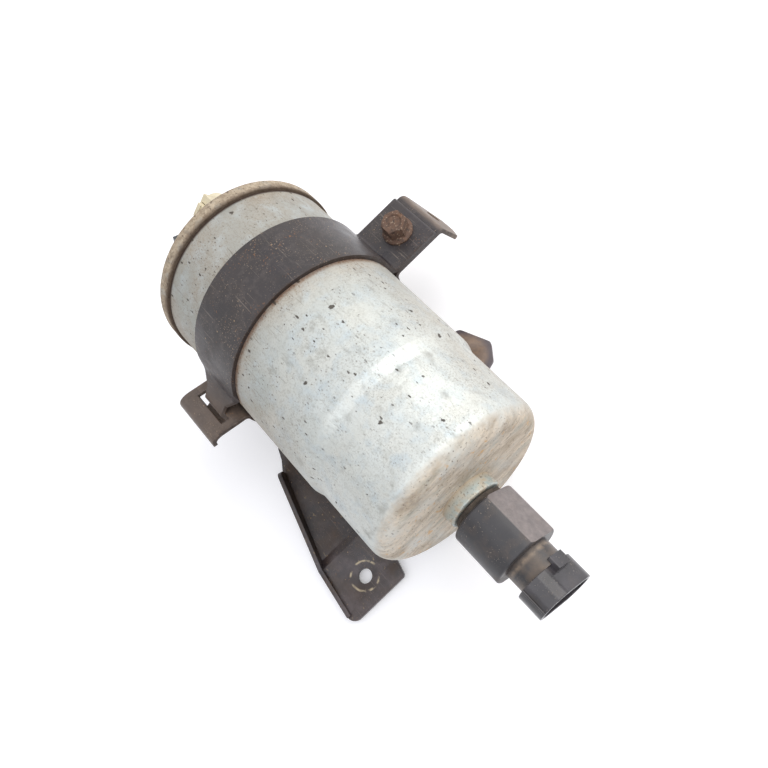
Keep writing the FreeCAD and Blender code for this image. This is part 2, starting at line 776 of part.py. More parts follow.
# ---------------------------------------------------------------------------------------------
# Filter element, its seal, spring and the duct that leads clean fuel to the outlet
# ---------------------------------------------------------------------------------------------
def make_element():
    sheet_half = size("pleat_sheet") / 2
    quarter = math.pi / 2 / PLEATS
    tip = size("element_radius")
    root = size("pleat_root")
    outside = (tip, root + 2 * sheet_half)
    inside = (tip - 2 * sheet_half, root)
    outer = pleat_wire(outside, (quarter + sheet_half / outside[0], quarter - sheet_half / outside[1]))
    inner = pleat_wire(inside, (quarter - sheet_half / inside[0], quarter + sheet_half / inside[1]))
    section = Part.makeFace([outer, inner], "Part::FaceMakerBullseye")
    paper = section.extrude(Vector(size("element_length"), 0, 0))
    keep("filter_paper", put(shaped("filter_paper", paper), can_point()))

    top_cap = turned("top_end_cap", [
        ("Places.neck_tip", "Sizes.neck_radius - Sizes.neck_wall"),
        ("Places.neck_tip", "Sizes.neck_radius"),
        ("Places.top_cap_face", "Sizes.neck_radius"),
        ("Places.top_cap_face", "Places.cap_radius"),
        ("Sizes.element_start + Sizes.cap_rim", "Places.cap_radius"),
        ("Sizes.element_start + Sizes.cap_rim", "Sizes.element_radius"),
        ("Sizes.element_start", "Sizes.element_radius"),
        ("Sizes.element_start", "Sizes.neck_radius - Sizes.neck_wall"),
    ])
    keep("top_end_cap", put(top_cap, can_point()))

    bottom_cap = turned("bottom_end_cap", [
        ("Places.bottom_cap_face", "0"),
        ("Places.bottom_cap_face", "Places.cap_radius"),
        ("Places.element_end - Sizes.cap_rim", "Places.cap_radius"),
        ("Places.element_end - Sizes.cap_rim", "Sizes.element_radius"),
        ("Places.element_end", "Sizes.element_radius"),
        ("Places.element_end", "0"),
    ])
    keep("bottom_end_cap", put(bottom_cap, can_point()))

    tube = turned("centre_tube_blank", [
        ("Sizes.element_start", "Sizes.tube_radius"),
        ("Places.element_end", "Sizes.tube_radius"),
        ("Places.element_end", "Sizes.tube_radius - Sizes.tube_wall"),
        ("Sizes.element_start", "Sizes.tube_radius - Sizes.tube_wall"),
    ])
    rows = int((size("element_length") - size("tube_hole_pitch")) // size("tube_hole_pitch"))
    drills = []
    for row in range(1, rows + 1):
        along = f"Sizes.element_start + {row} * Sizes.tube_hole_pitch"
        drills.append(cylinder(f"tube_hole_up_{row}", "Sizes.tube_hole_radius", "3 * Sizes.tube_radius",
                               (along, "0", "-1.5 * Sizes.tube_radius"), UPRIGHT))
        drills.append(cylinder(f"tube_hole_across_{row}", "Sizes.tube_hole_radius",
                               "3 * Sizes.tube_radius", (along, "1.5 * Sizes.tube_radius", "0"),
                               Rotation(X_AXIS, 90)))
    keep("centre_tube", put(cut("centre_tube", tube, drills), can_point()))

    neck_seal = ring("element_seal", "Sizes.neck_radius + Sizes.element_seal_section / 2",
                     "Sizes.element_seal_section / 2",
                     can_point("Places.neck_tip + Sizes.neck_length / 2"))
    keep("element_seal", neck_seal)
    make_duct()
    make_spring()


def make_duct():
    wall = "Sizes.duct_wall"
    hub = cylinder("duct_hub", f"Places.duct_bore + {wall}", "Sizes.duct_height")
    port = cylinder("duct_port", "Sizes.duct_width / 2", "Sizes.duct_height",
                    ("0", "0", "Places.outlet_reach"))
    link = box("duct_link", ("Sizes.duct_height", "Sizes.duct_width", "Places.outlet_reach"),
               ("0", "-Sizes.duct_width / 2", "0"))
    hollows = [
        cylinder("duct_neck_bore", "Places.duct_bore", "Sizes.duct_height", (wall, "0", "0")),
        cylinder("duct_port_hollow", f"Sizes.duct_width / 2 - {wall}",
                 f"Sizes.duct_height - 2 * {wall}", (wall, "0", "Places.outlet_reach")),
        box("duct_hollow",
            (f"Sizes.duct_height - 2 * {wall}", f"Sizes.duct_width - 2 * {wall}",
             "Places.outlet_reach"),
            (wall, f"-Sizes.duct_width / 2 + {wall}", "0")),
        cylinder("duct_port_hole", "Sizes.spigot_radius", f"2 * {wall}",
                 (f"-{wall}", "0", "Places.outlet_reach")),
    ]
    duct = cut("outlet_duct", fuse("duct_solid", [hub, port, link]), hollows)
    keep("outlet_duct", put(duct, can_point(), X_AXIS, "Places.outlet_bearing"))


def make_spring():
    coil = doc.addObject("Part::Helix", "spring_path")
    coil.setExpression("Radius", "Sizes.spring_radius")
    coil.setExpression("Height", "Places.spring_length")
    coil.setExpression("Pitch", "Places.spring_length / Sizes.spring_turns")
    wire = doc.addObject("Part::Circle", "spring_section")
    wire.setExpression("Radius", "Sizes.spring_wire / 2")
    put(wire, ("Sizes.spring_radius", "0", "0"), rotation=Rotation(X_AXIS, 90))
    doc.recompute()
    spring = doc.addObject("Part::Sweep", "element_spring")
    spring.Sections = [wire]
    spring.Spine = (coil, [])
    spring.Solid = True
    spring.Frenet = True
    start = "Places.bottom_cap_face + Sizes.spring_wire / 2 + Sizes.spring_gap"
    keep("element_spring", put(spring, can_point(start), rotation=ALONG_X))


# ---------------------------------------------------------------------------------------------
# Threaded collar and water sensor
# ---------------------------------------------------------------------------------------------
def make_collar():
    collar = turned("sensor_collar", [
        ("Places.collar_back", "Sizes.stem_radius + Sizes.stem_running"),
        ("Places.collar_back", "Sizes.collar_flange_radius"),
        ("Places.end_inside", "Sizes.collar_flange_radius"),
        ("Places.end_inside", "Sizes.collar_radius"),
        ("Places.collar_face", "Sizes.collar_radius"),
        ("Places.collar_face", "Sizes.stem_radius + Sizes.stem_running"),
    ], {"Sizes.collar_round": [4]})
    keep("sensor_collar", put(collar, can_point()))

    seal = turned("sensor_seal", [
        ("Places.seal_start", "Sizes.stem_radius + Sizes.stem_running"),
        ("Places.seal_start", "Sizes.sensor_seal_radius"),
        ("Places.seal_end", "Sizes.sensor_seal_radius"),
        ("Places.seal_end", "Sizes.stem_radius + Sizes.stem_running"),
    ], {"Sizes.sensor_seal_width / 3": [1, 2]})
    keep("sensor_seal", put(seal, can_point()))


def place_on_sensor(piece):
    """Turns a piece, made with its flats level, to the sensor's own angle in the can's end."""
    return put(piece, can_point(), X_AXIS, "-Sizes.shroud_angle")


def make_sensor():
    stem = turned("sensor_stem", [
        ("Places.probe_tip", "0"),
        ("Places.probe_tip", "Sizes.probe_radius"),
        ("Places.stem_start", "Sizes.probe_radius"),
        ("Places.stem_start", "Sizes.stem_radius"),
        ("Places.barrel_start", "Sizes.stem_radius"),
        ("Places.barrel_start", "Sizes.reed_bore"),
        ("Places.probe_tip + Sizes.probe_wall", "Sizes.reed_bore"),
        ("Places.probe_tip + Sizes.probe_wall", "0"),
    ])
    keep("sensor_stem", put(stem, can_point()))

    reed = cylinder("reed_switch", "Sizes.reed_radius", "Sizes.reed_length",
                    can_point("Places.probe_tip + Sizes.probe_wall"))
    keep("reed_switch", reed)

    stop = turned("float_stop", [
        ("Places.stop_start", "Sizes.probe_radius"),
        ("Places.stop_start", "Sizes.stop_radius"),
        ("Places.stop_end", "Sizes.stop_radius"),
        ("Places.stop_end", "Sizes.probe_radius"),
    ])
    keep("float_stop", put(stop, can_point()))

    bore = "Sizes.probe_radius + Sizes.float_running"
    water_float = turned("water_float", [
        ("Places.float_start", bore),
        ("Places.float_start", "Sizes.magnet_bore"),
        ("Places.float_start + Sizes.magnet_length", "Sizes.magnet_bore"),
        ("Places.float_start + Sizes.magnet_length", "Sizes.magnet_radius"),
        ("Places.float_start", "Sizes.magnet_radius"),
        ("Places.float_start", "Sizes.float_radius"),
        ("Places.float_end", "Sizes.float_radius"),
        ("Places.float_end", bore),
    ])
    keep("water_float", put(water_float, can_point()))

    magnet = turned("float_magnet", [
        ("Places.float_start", "Sizes.magnet_bore"),
        ("Places.float_start", "Sizes.magnet_radius"),
        ("Places.float_start + Sizes.magnet_length", "Sizes.magnet_radius"),
        ("Places.float_start + Sizes.magnet_length", "Sizes.magnet_bore"),
    ])
    keep("float_magnet", put(magnet, can_point()))
    make_barrel()
    make_shroud()


def make_barrel():
    barrel = turned("barrel_blank", [
        ("Places.barrel_start", "Sizes.reed_bore"),
        ("Places.barrel_start", "Sizes.barrel_radius"),
        ("Places.barrel_end", "Sizes.barrel_radius"),
        ("Places.barrel_end", "Sizes.neck_outer"),
        ("Places.shroud_start", "Sizes.neck_outer"),
        ("Places.shroud_start", "Sizes.neck_inner"),
        ("Places.barrel_end - Sizes.barrel_wall", "Sizes.neck_inner"),
        ("Places.barrel_end - Sizes.barrel_wall", "Places.barrel_cavity"),
        ("Places.barrel_start + Sizes.barrel_wall", "Places.barrel_cavity"),
        ("Places.barrel_start + Sizes.barrel_wall", "Sizes.reed_bore"),
    ], {"Sizes.barrel_round": [1, 2]})
    depth = "2 * Sizes.barrel_radius"
    flats = [box(f"barrel_flat_{name}", ("Sizes.barrel_length * 2", depth, "Sizes.barrel_radius"),
                 ("Places.barrel_start - Sizes.barrel_length / 2", "-Sizes.barrel_radius", low))
             for name, low in (("upper", "Sizes.barrel_flat"),
                               ("lower", "-Sizes.barrel_flat - Sizes.barrel_radius"))]
    keep("sensor_barrel", place_on_sensor(cut("sensor_barrel", barrel, flats)))


def stadium(label, start, length, long_half, short_half):
    """A bar along X whose section is flat-sided with round ends."""
    offset = f"({long_half} - ({short_half}))"
    middle = box(f"{label}_middle", (length, f"2 * {offset}", f"2 * ({short_half})"),
                 (start, f"-{offset}", f"-({short_half})"))
    ends = [cylinder(f"{label}_end_{name}", short_half, length, (start, f"{sign}{offset}", "0"))
            for name, sign in (("left", ""), ("right", "-"))]
    return fuse(label, [middle] + ends)


def terminal(name, place_in_row):
    """One flat terminal, measured like the shroud that holds it."""
    side = f"{place_in_row} * Sizes.terminal_pitch - Sizes.terminal_width / 2"
    return box(name, ("Sizes.terminal_tail + Sizes.terminal_reach", "Sizes.terminal_width",
                      "Sizes.terminal_thickness"),
               ("Places.terminal_start", side, "-Sizes.terminal_thickness / 2"))


def make_shroud():
    outer = stadium("shroud_outer", "Places.shroud_start", "Sizes.shroud_length",
                    "Sizes.shroud_long", "Sizes.shroud_short")
    hollow = stadium("shroud_hollow", "Places.shroud_floor", "2 * Sizes.shroud_depth",
                     "(Sizes.shroud_long - Sizes.shroud_wall)",
                     "Sizes.shroud_short - Sizes.shroud_wall")
    catch = box("shroud_catch",
                ("Sizes.catch_overhang + Sizes.catch_length", "Sizes.catch_width",
                 "Sizes.catch_height + Sizes.shroud_wall"),
                ("Places.shroud_start - Sizes.catch_overhang", "-Sizes.catch_width / 2",
                 "Sizes.shroud_short - Sizes.shroud_wall"))
    root = "Sizes.shroud_long - Sizes.shroud_wall / 2"
    rib_depth = "Sizes.shroud_wall / 2 + Sizes.rib_height"
    ribs = [box(f"shroud_rib_{name}", ("Sizes.shroud_length", rib_depth, "Sizes.rib_width"),
                ("Places.shroud_start", low, "-Sizes.rib_width / 2"))
            for name, low in (("left", root), ("right", f"-({root}) - ({rib_depth})"))]
    neck = cylinder("shroud_neck_seat", "Sizes.neck_outer", "Sizes.sensor_neck_length",
                    ("Places.barrel_end", "0", "0"))
    slots = [terminal(f"{name}_slot", row) for name, row in TERMINALS.items()]
    solid = fuse("shroud_solid", [outer, catch] + ribs)
    keep("connector_shroud", place_on_sensor(cut("connector_shroud", solid, [hollow, neck] + slots)))

    for name, row in TERMINALS.items():
        blade = terminal(f"{name}_blade", row)
        point = box(f"{name}_notch", ("Sizes.terminal_thickness", "Sizes.terminal_width",
                                      "Sizes.terminal_thickness / 4"),
                    ("Places.shroud_floor + Sizes.terminal_reach - Sizes.terminal_thickness",
                     f"{row} * Sizes.terminal_pitch - Sizes.terminal_width / 2",
                     "Sizes.terminal_thickness / 4"))
        keep(name, place_on_sensor(cut(name, blade, [point])))

    board = box("board_blank", ("Sizes.board_length", "Sizes.board_width", "Sizes.board_thickness"),
                ("Places.terminal_start + Sizes.board_overlap - Sizes.board_length",
                 "-Sizes.board_width / 2",
                 "-Sizes.terminal_thickness / 2 - Sizes.board_thickness"))
    hole = cylinder("board_hole", "Sizes.reed_bore / 2", "3 * Sizes.board_thickness",
                    ("Places.terminal_start + Sizes.board_overlap + Sizes.board_hole_inset - Sizes.board_length",
                     "0",
                     "-2 * Sizes.board_thickness"), UPRIGHT)
    keep("circuit_board", place_on_sensor(cut("circuit_board", board, [hole])))


# ---------------------------------------------------------------------------------------------
# Clamp: strap, saddle, bolt and nut
# ---------------------------------------------------------------------------------------------
def wing_start():
    """Finds where the saddle's wing leaves its bend, as (y, height over the can's axis)."""
    near = size("bend_radius") + size("saddle_thickness")
    reach = place("saddle_inner") + near
    slope = math.radians(size("wing_slope"))
    drop = math.asin((near * math.cos(slope) - size("wing_rise")) / reach)
    return near * math.sin(slope) - reach * math.cos(drop), size("wing_rise"), drop


def bolt_drill(low, high):
    """The bolt's clearance hole between two heights, as a shape."""
    return Part.makeCylinder(place("bolt_hole"), high - low, Vector(0, place("bolt_y"), low))


def make_strap():
    near = size("bend_radius") + size("strap_thickness")
    reach = place("strap_inner") + near
    lift = math.degrees(math.asin((size("ear_height") + near) / reach))
    leave = size("strap_leave_angle")
    reverse = 90 - leave - size("tongue_slope")
    soft = 3 * size("bend_radius") + size("strap_thickness")
    tight = size("bend_radius") / 2
    slope = math.radians(size("tongue_slope"))
    slot_edge = wing_start()[0] - size("slot_inset") - size("slot_clearance")
    # where the soft bend that follows the can's surface ends
    side = math.radians(180 - leave)
    bend_y = (place("strap_inner") + soft) * math.cos(side) + soft * math.sin(slope)
    fold = tight * (1 - math.sin(slope))
    tongue = (bend_y - slot_edge - fold) / math.cos(slope)
    steps = [
        ("flat", place("ear_end") - reach * math.cos(math.radians(lift))),
        ("bend", near, lift - 90),
        ("bend", place("strap_inner"), 180 - leave - lift),
        ("bend", soft, -reverse),
        ("flat", tongue),
        ("bend", tight, 90 - size("tongue_slope")),
        ("flat", size("tongue_drop")),
        ("bend", tight + size("strap_thickness"), -size("hook_turn")),
        ("flat", size("hook_length")),
    ]
    start = (place("ear_end"), place("ear_top"))
    face, ends = bent_sheet(start, 180, steps, size("strap_thickness"), -1)
    strap = face.extrude(Vector(size("clamp_width"), 0, 0))
    edge = [line for line in strap.Edges
            if abs(line.CenterOfMass.y - place("ear_end")) < 1e-4
            and abs(line.CenterOfMass.z - place("ear_top") - size("strap_thickness")) < 1e-4
            and abs(line.CenterOfMass.x) < 1e-4]
    strap = strap.makeFillet(size("strap_edge_round"), edge)
    # the tongue is narrower than the strap on both sides
    half = place("clamp_half")
    tongue_half = size("tongue_width") / 2
    shoulder = ends[2][0].y
    step = shoulder - size("tongue_taper")
    far = slot_edge - 4 * size("slot_width")
    low = place("axis_height") - place("can_inner")
    high = place("axis_height") + ends[2][0].z
    for sign in (-1, 1):
        corners = [(sign * 2 * half, shoulder), (sign * half, shoulder),
                   (sign * size("tongue_shoulder"), step),
                   (sign * tongue_half, slot_edge),
                   (sign * tongue_half, far), (sign * 2 * half, far)]
        strap = strap.cut(plan_prism(corners, low, high))
    top = place("ear_top") + size("strap_thickness")
    strap = strap.cut(bolt_drill(place("ear_top") - size("strap_thickness"), 2 * top))
    keep("clamp_strap", shaped("clamp_strap", strap.removeSplitter()))


def make_saddle():
    thickness = size("saddle_thickness")
    near = size("bend_radius") + thickness
    inner = place("saddle_inner")
    reach = inner + near
    sink = math.degrees(math.asin((near - size("ear_height")) / reach))
    rise = math.degrees(wing_start()[2])
    floor_half = size("saddle_floor") / 2
    spread = math.degrees(math.atan(floor_half / inner))
    corner = 2 * size("bend_radius")
    trim = corner * math.tan(math.radians(spread))
    tilt = size("side_tab_angle")
    lean = math.radians(tilt)
    bend_y = place("ear_end") + size("saddle_thickness") / 2
    steps = [
        ("flat", size("side_tab_length")),
        ("bend", near, tilt),
        ("flat", bend_y - reach * math.cos(math.radians(sink))),
        ("bend", near, 90 - sink),
        ("bend", inner, -(90 - 2 * spread - sink)),
        ("flat", floor_half - trim),
        ("bend", corner, -2 * spread),
        ("flat", 2 * (floor_half - trim)),
        ("bend", corner, -2 * spread),
        ("flat", floor_half - trim),
        ("bend", inner, -(90 - 2 * spread - rise)),
        ("bend", near, 90 - rise - size("wing_slope")),
        ("flat", size("wing_length")),
        ("bend", 2 * near, size("wing_turn_down")),
        ("bend", near, size("wing_lip_turn")),
        ("flat", size("wing_lip")),
    ]
    crest = (bend_y + near * math.sin(lean), place("ear_top") - near * (1 - math.cos(lean)))
    start = (crest[0] + size("side_tab_length") * math.cos(lean),
             crest[1] - size("side_tab_length") * math.sin(lean))
    face, ends = bent_sheet(start, 180 - tilt, steps, thickness, 1)
    saddle = face.extrude(Vector(size("clamp_width"), 0, 0))

    # slot in the wing for the strap's tongue
    slot_edge = wing_start()[0] - size("slot_inset")
    slot = Part.makeBox(size("slot_length"), size("slot_width"), 6 * thickness,
                        Vector(-size("slot_length") / 2, slot_edge - size("slot_width"),
                               place("axis_height") - 2 * thickness))
    saddle = saddle.cut(slot)
    saddle = saddle.cut(bolt_drill(place("ear_top") - 2 * thickness, 2 * place("ear_top")))

    # the side tab is drawn flat in its own plane: x across, y down the slope
    half = place("clamp_half")
    length = size("side_tab_length")
    plane = Placement(Vector(0, crest[0], crest[1]), Rotation(X_AXIS, -tilt))
    straight = size("side_tab_straight")
    outer_end = size("side_tab_outer_end")
    outside = plan_prism([(half, straight), (outer_end, length), (outer_end, 2 * length),
                          (2 * half, 2 * length), (2 * half, straight)],
                         -2 * thickness, thickness)
    slant = size("side_tab_slant_start")
    slant_end = -size("side_tab_slant_end")
    corner_off = plan_prism([(-half, slant), (slant_end, length), (slant_end, 2 * length),
                             (-2 * half, 2 * length), (-2 * half, slant)],
                            -2 * thickness, thickness)
    hole = Part.makeCylinder(size("side_tab_hole_radius"), 3 * thickness,
                             Vector(size("side_tab_hole_side"), size("side_tab_hole_drop"),
                                    -2 * thickness))
    for tool in (outside, corner_off, hole):
        tool.Placement = plane
        saddle = saddle.cut(tool)
    keep("saddle", shaped("saddle", saddle.removeSplitter()))


def make_bolt():
    head = hexagon("bolt_hexagon", "Sizes.bolt_flats", "Sizes.bolt_head_height",
                   ("0", "Places.bolt_y", "Places.head_seat"))
    corner = "Sizes.bolt_flats / 2 / cos(30)"
    trim = turned("bolt_head_trim", [
        ("0", "0"),
        ("0", corner),
        ("Sizes.bolt_head_height - Sizes.bolt_head_chamfer / 2", corner),
        ("Sizes.bolt_head_height", f"{corner} - Sizes.bolt_head_chamfer"),
        ("Sizes.bolt_head_height", "Sizes.bolt_dish_radius"),
        ("Sizes.bolt_head_height - Sizes.bolt_dish_depth", "Sizes.bolt_dish_radius - Sizes.bolt_dish_depth"),
        ("Sizes.bolt_head_height - Sizes.bolt_dish_depth", "0"),
    ])
    put(trim, ("0", "Places.bolt_y", "Places.head_seat"), rotation=UP_FROM_X)
    shank = turned("bolt_shank", [
        ("Sizes.bolt_flange_height", "0"),
        ("Sizes.bolt_flange_height", "Sizes.bolt_flats / 2"),
        ("Sizes.bolt_flange_edge", "Sizes.bolt_flange_radius"),
        ("0", "Sizes.bolt_flange_radius"),
        ("0", "Sizes.bolt_radius"),
        ("Sizes.bolt_radius / 3 - Sizes.bolt_length", "Sizes.bolt_radius"),
        ("-Sizes.bolt_length", "Sizes.bolt_radius * 2 / 3"),
        ("-Sizes.bolt_length", "0"),
    ])
    put(shank, ("0", "Places.bolt_y", "Places.head_seat"), rotation=UP_FROM_X)
    keep("flange_bolt", fuse("flange_bolt", [common("bolt_head", head, trim), shank]))

    nut_low = "Places.ear_top - Sizes.saddle_thickness - Sizes.nut_height"
    nut = hexagon("nut_hexagon", "Sizes.nut_flats", "Sizes.nut_height",
                  ("0", "Places.bolt_y", nut_low))
    bore = cylinder("nut_bore", "Sizes.bolt_radius + Sizes.thread_gap", "2 * Sizes.nut_height",
                    ("0", "Places.bolt_y", nut_low + " - Sizes.nut_height / 2"), UPRIGHT)
    keep("weld_nut", cut("weld_nut", nut, [bore]))


# ---------------------------------------------------------------------------------------------
# Base plate: flat under the clamp, with a raised foot, two lips and a rear tab
# ---------------------------------------------------------------------------------------------
def make_base():
    top = "Sizes.base_thickness"
    raised = "Sizes.foot_raise"
    tab_x = "Sizes.rear_tab_reach"
    tab_y = "Sizes.rear_tab_offset"
    tab_side = "Sizes.rear_tab_radius * cos(Sizes.rear_tab_side_angle)"
    tab_rise = "Sizes.rear_tab_radius * sin(Sizes.rear_tab_side_angle)"
    outline = padded("base_outline", "XY_Plane", [
        ("-Places.clamp_half", "-Sizes.base_back"),
        ("Sizes.leg_back - Sizes.leg_tail", "-Sizes.leg_offset + 2 * Sizes.lip_notch"),
        ("Sizes.leg_back", "-Sizes.leg_offset + Sizes.lip_notch"),
        ("Places.lip_x", "-Places.lip_y"),
        ("Places.kink_x", "-Places.kink_y"),
        ("Places.foot_end", "-Places.foot_left"),
        ("Places.foot_end", "-Places.foot_right"),
        ("Places.foot_end - 2 * Sizes.foot_corner", "-Places.foot_right + Sizes.foot_corner / 2"),
        (tab_x, "-Sizes.base_back / 2"),
        (f"{tab_x} + Sizes.rear_tab_radius", tab_y),
        (f"{tab_x} + {tab_side}", f"{tab_y} + {tab_rise}"),
        (f"{tab_x} + Sizes.rear_tab_radius * cos(Sizes.rear_tab_crown_angle)",
         f"{tab_y} + Sizes.rear_tab_radius * sin(Sizes.rear_tab_crown_angle)"),
        (f"{tab_x} - {tab_side}", f"{tab_y} + {tab_rise}"),
        (f"{tab_x} - Sizes.rear_tab_radius", tab_y),
        ("-Places.clamp_half", "Sizes.base_back"),
    ], "4 * Sizes.base_thickness + Sizes.foot_raise", rounds={
        "Sizes.foot_corner / 2": [6, 7],
        "Sizes.foot_corner": [0, 5, 14],
        "Sizes.rear_tab_radius": [8],
        "Sizes.rear_tab_round": [10, 11, 12],
    })
    section = padded("base_section", "XZ_Plane", [
        ("-Sizes.clamp_width", "0"),
        ("Places.joggle_start", "0"),
        ("Places.joggle_end", raised),
        ("2 * Places.foot_end", raised),
        ("2 * Places.foot_end", f"{raised} + {top}"),
        ("Places.joggle_end", f"{raised} + {top}"),
        ("Places.joggle_start", top),
        ("-Sizes.clamp_width", top),
    ], "4 * Places.foot_end", middle=True)
    sheet_part = common("base_sheet", outline, section)
    lips = [
        lip("leg_lip", "Places.lip_length", f"{top} + Sizes.lip_height",
            f"{raised} + {top} + Sizes.lip_foot_height",
            ("Places.lip_x", "-Places.lip_y", "0"), "-90 - Places.leg_bearing"),
        lip("foot_lip", "Places.foot_lip_length", f"{top} + Sizes.lip_foot_height",
            f"{top} + Sizes.lip_end_height",
            ("Places.kink_x", "-Places.kink_y", raised), "-90 - Places.foot_bearing"),
    ]
    holes = [
        cylinder("foot_hole", "Sizes.foot_hole_radius", f"4 * {top}",
                 ("Sizes.foot_reach", "-Sizes.foot_offset", "0"), UPRIGHT),
        cylinder("rear_tab_hole", "Sizes.rear_tab_hole_radius", f"4 * {top}",
                 ("Sizes.rear_tab_reach", "Sizes.rear_tab_offset", f"-{top}"), UPRIGHT),
    ]
    for name, sign in (("front", ""), ("back", "-")):
        holes.append(cylinder(f"weld_mark_{name}", "Sizes.weld_radius", "2 * Sizes.weld_depth",
                              (f"{sign}Sizes.weld_pitch / 2", "0", "-Sizes.weld_depth"), UPRIGHT))
    solid = fuse("base_solid", [sheet_part] + lips)
    keep("base_plate", cut("base_plate", solid, holes))


def lip(label, length, start_height, end_height, at, bearing):
    """A stiffening lip that runs from a point at a bearing, changing height along its length."""
    piece = doc.addObject("Part::Wedge", label)
    rules = {
        "Xmin": "-Sizes.base_thickness", "Xmax": "0", "X2min": "-Sizes.base_thickness", "X2max": "0",
        "Ymin": "0", "Ymax": length, "Zmin": "0", "Zmax": start_height, "Z2min": "0",
        "Z2max": end_height,
    }
    for side, rule in rules.items():
        piece.setExpression(side, rule)
    return put(piece, at, Z_AXIS, bearing)


def main():
    make_can()
    for port in PORTS:
        make_spigot(port)
        make_connector(port)
    make_element()
    make_collar()
    make_sensor()
    make_strap()
    make_saddle()
    make_bolt()
    make_base()
    doc.recompute()

    for thing in doc.Objects:
        if "Invalid" in thing.State or "Error" in thing.State:
            raise RuntimeError(f"{thing.Label} did not recompute: {thing.getStatusString()}")
    for name, piece in nodes.items():
        if piece.Shape.isNull() or not piece.Shape.isValid():
            raise RuntimeError(f"{name} has no valid shape")
    os.makedirs("parts", exist_ok=True)
    for name, piece in nodes.items():
        piece.Shape.exportStep(f"parts/{name}.step")
    print(len(nodes), "nodes")
    for name, piece in nodes.items():
        bounds = piece.Shape.BoundBox
        print(f"{name:26s} solids {len(piece.Shape.Solids)} volume {piece.Shape.Volume:10.1f}"
              f"  x {bounds.XMin:7.2f} {bounds.XMax:7.2f}  y {bounds.YMin:7.2f} {bounds.YMax:7.2f}"
              f"  z {bounds.ZMin:7.2f} {bounds.ZMax:7.2f}")


main()
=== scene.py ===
# %% [markdown]
# A fuel filter in its clamp bracket, finished piece by piece.
# The loaded model gives every part its size and its place. This lesson gives the parts the finishes
# that a used filter has, and softens the edges that a press or a mould leaves round.
# Every length below is written in millimetres and turned to metres where Blender needs them.

# %% Load the model
import json
import math

import bmesh
import bpy
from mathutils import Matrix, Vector


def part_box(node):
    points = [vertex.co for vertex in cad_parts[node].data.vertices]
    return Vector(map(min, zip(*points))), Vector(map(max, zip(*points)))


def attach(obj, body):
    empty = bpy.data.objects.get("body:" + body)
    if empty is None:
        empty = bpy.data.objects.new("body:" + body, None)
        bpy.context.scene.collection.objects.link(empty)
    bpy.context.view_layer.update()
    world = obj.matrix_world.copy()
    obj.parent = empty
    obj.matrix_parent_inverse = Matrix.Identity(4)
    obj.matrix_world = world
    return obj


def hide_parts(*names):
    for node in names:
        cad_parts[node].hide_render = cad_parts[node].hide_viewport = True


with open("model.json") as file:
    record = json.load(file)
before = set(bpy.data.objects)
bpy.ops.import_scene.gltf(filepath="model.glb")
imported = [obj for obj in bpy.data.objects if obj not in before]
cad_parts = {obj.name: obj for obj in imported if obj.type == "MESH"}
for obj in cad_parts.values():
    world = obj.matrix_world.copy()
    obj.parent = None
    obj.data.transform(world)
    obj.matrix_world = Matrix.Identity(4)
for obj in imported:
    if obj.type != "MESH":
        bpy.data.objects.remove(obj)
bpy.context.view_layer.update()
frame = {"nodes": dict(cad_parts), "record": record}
MM = 0.001
scene = bpy.context.scene
scene.view_settings.view_transform = "Standard"

# %% [markdown]
# The camera stands low over the sensor's end and is rolled, so the can runs from the upper left to
# the lower right. A short lens this near makes the sensor look large and the far rim small.
# The shift slides the view sideways and up without turning the camera.

# %% The camera
lens = bpy.data.cameras.new("camera")
lens.sensor_width = 36
lens.lens = 30.5
lens.shift_x = -0.06
lens.shift_y = 0.121
lens.clip_start = 0.01
camera = bpy.data.objects.new("camera", lens)
camera.location = (177.4 * MM, 0, 289.8 * MM)
camera.rotation_euler = [math.radians(turn) for turn in (13.51, 14.25, 47.89)]
scene.collection.objects.link(camera)
scene.camera = camera
print("the camera is", round(camera.location.length / MM), "mm from the origin")

# %% [markdown]
# Two small helpers serve every finish. The first turns a hex colour, as a paint chart gives it,
# into the linear colour that shaders add and multiply. The second adds one node with its settings and
# its links, so that a finish reads as a list of layers.

# %% Helpers for the finishes
def linear(code):
    """Turns an sRGB hex colour into a linear one."""
    parts = [int(code[i:i + 2], 16) / 255 for i in (1, 3, 5)]
    return [p / 12.92 if p <= 0.04045 else ((p + 0.055) / 1.055) ** 2.4 for p in parts] + [1.0]


def add(tree, kind, settings=None, links=None):
    """Adds a node, sets its properties and sockets, and links other nodes' outputs to it."""
    node = tree.nodes.new(kind)
    for name, value in (settings or {}).items():
        if isinstance(name, str) and hasattr(node, name):
            setattr(node, name, value)
        else:
            node.inputs[name].default_value = value
    for name, output in (links or {}).items():
        tree.links.new(output, node.inputs[name])
    return node


print("rust brown in linear light:", [round(part, 3) for part in linear("#6B4F42")])

# %% [markdown]
# Light decides how a finish reads. The filter lies in a bright white studio: light comes from all
# round, and a large soft lamp on the bolted side casts a faint shadow the other way.
# Metal shows what surrounds it, so mirror rays see the same white as the camera does, while the
# light that falls on the parts stays at a plain level.

# %% The studio
world = bpy.data.worlds.new("white_studio")
world.use_nodes = True
scene.world = world
sky = world.node_tree
sky.nodes.clear()
ray = add(sky, "ShaderNodeLightPath")
seen = add(sky, "ShaderNodeMath", {"operation": "MAXIMUM"},
           {0: ray.outputs["Is Camera Ray"], 1: ray.outputs["Is Glossy Ray"]})
seen = add(sky, "ShaderNodeMath", {"operation": "MAXIMUM"},
           {0: seen.outputs[0], 1: ray.outputs["Is Transmission Ray"]})
level = add(sky, "ShaderNodeMapRange", {"To Min": 0.6, "To Max": 1.0}, {"Value": seen.outputs[0]})
studio = add(sky, "ShaderNodeBackground", {"Color": linear("#FDFDFF")},
             {"Strength": level.outputs[0]})
add(sky, "ShaderNodeOutputWorld", {}, {"Surface": studio.outputs[0]})


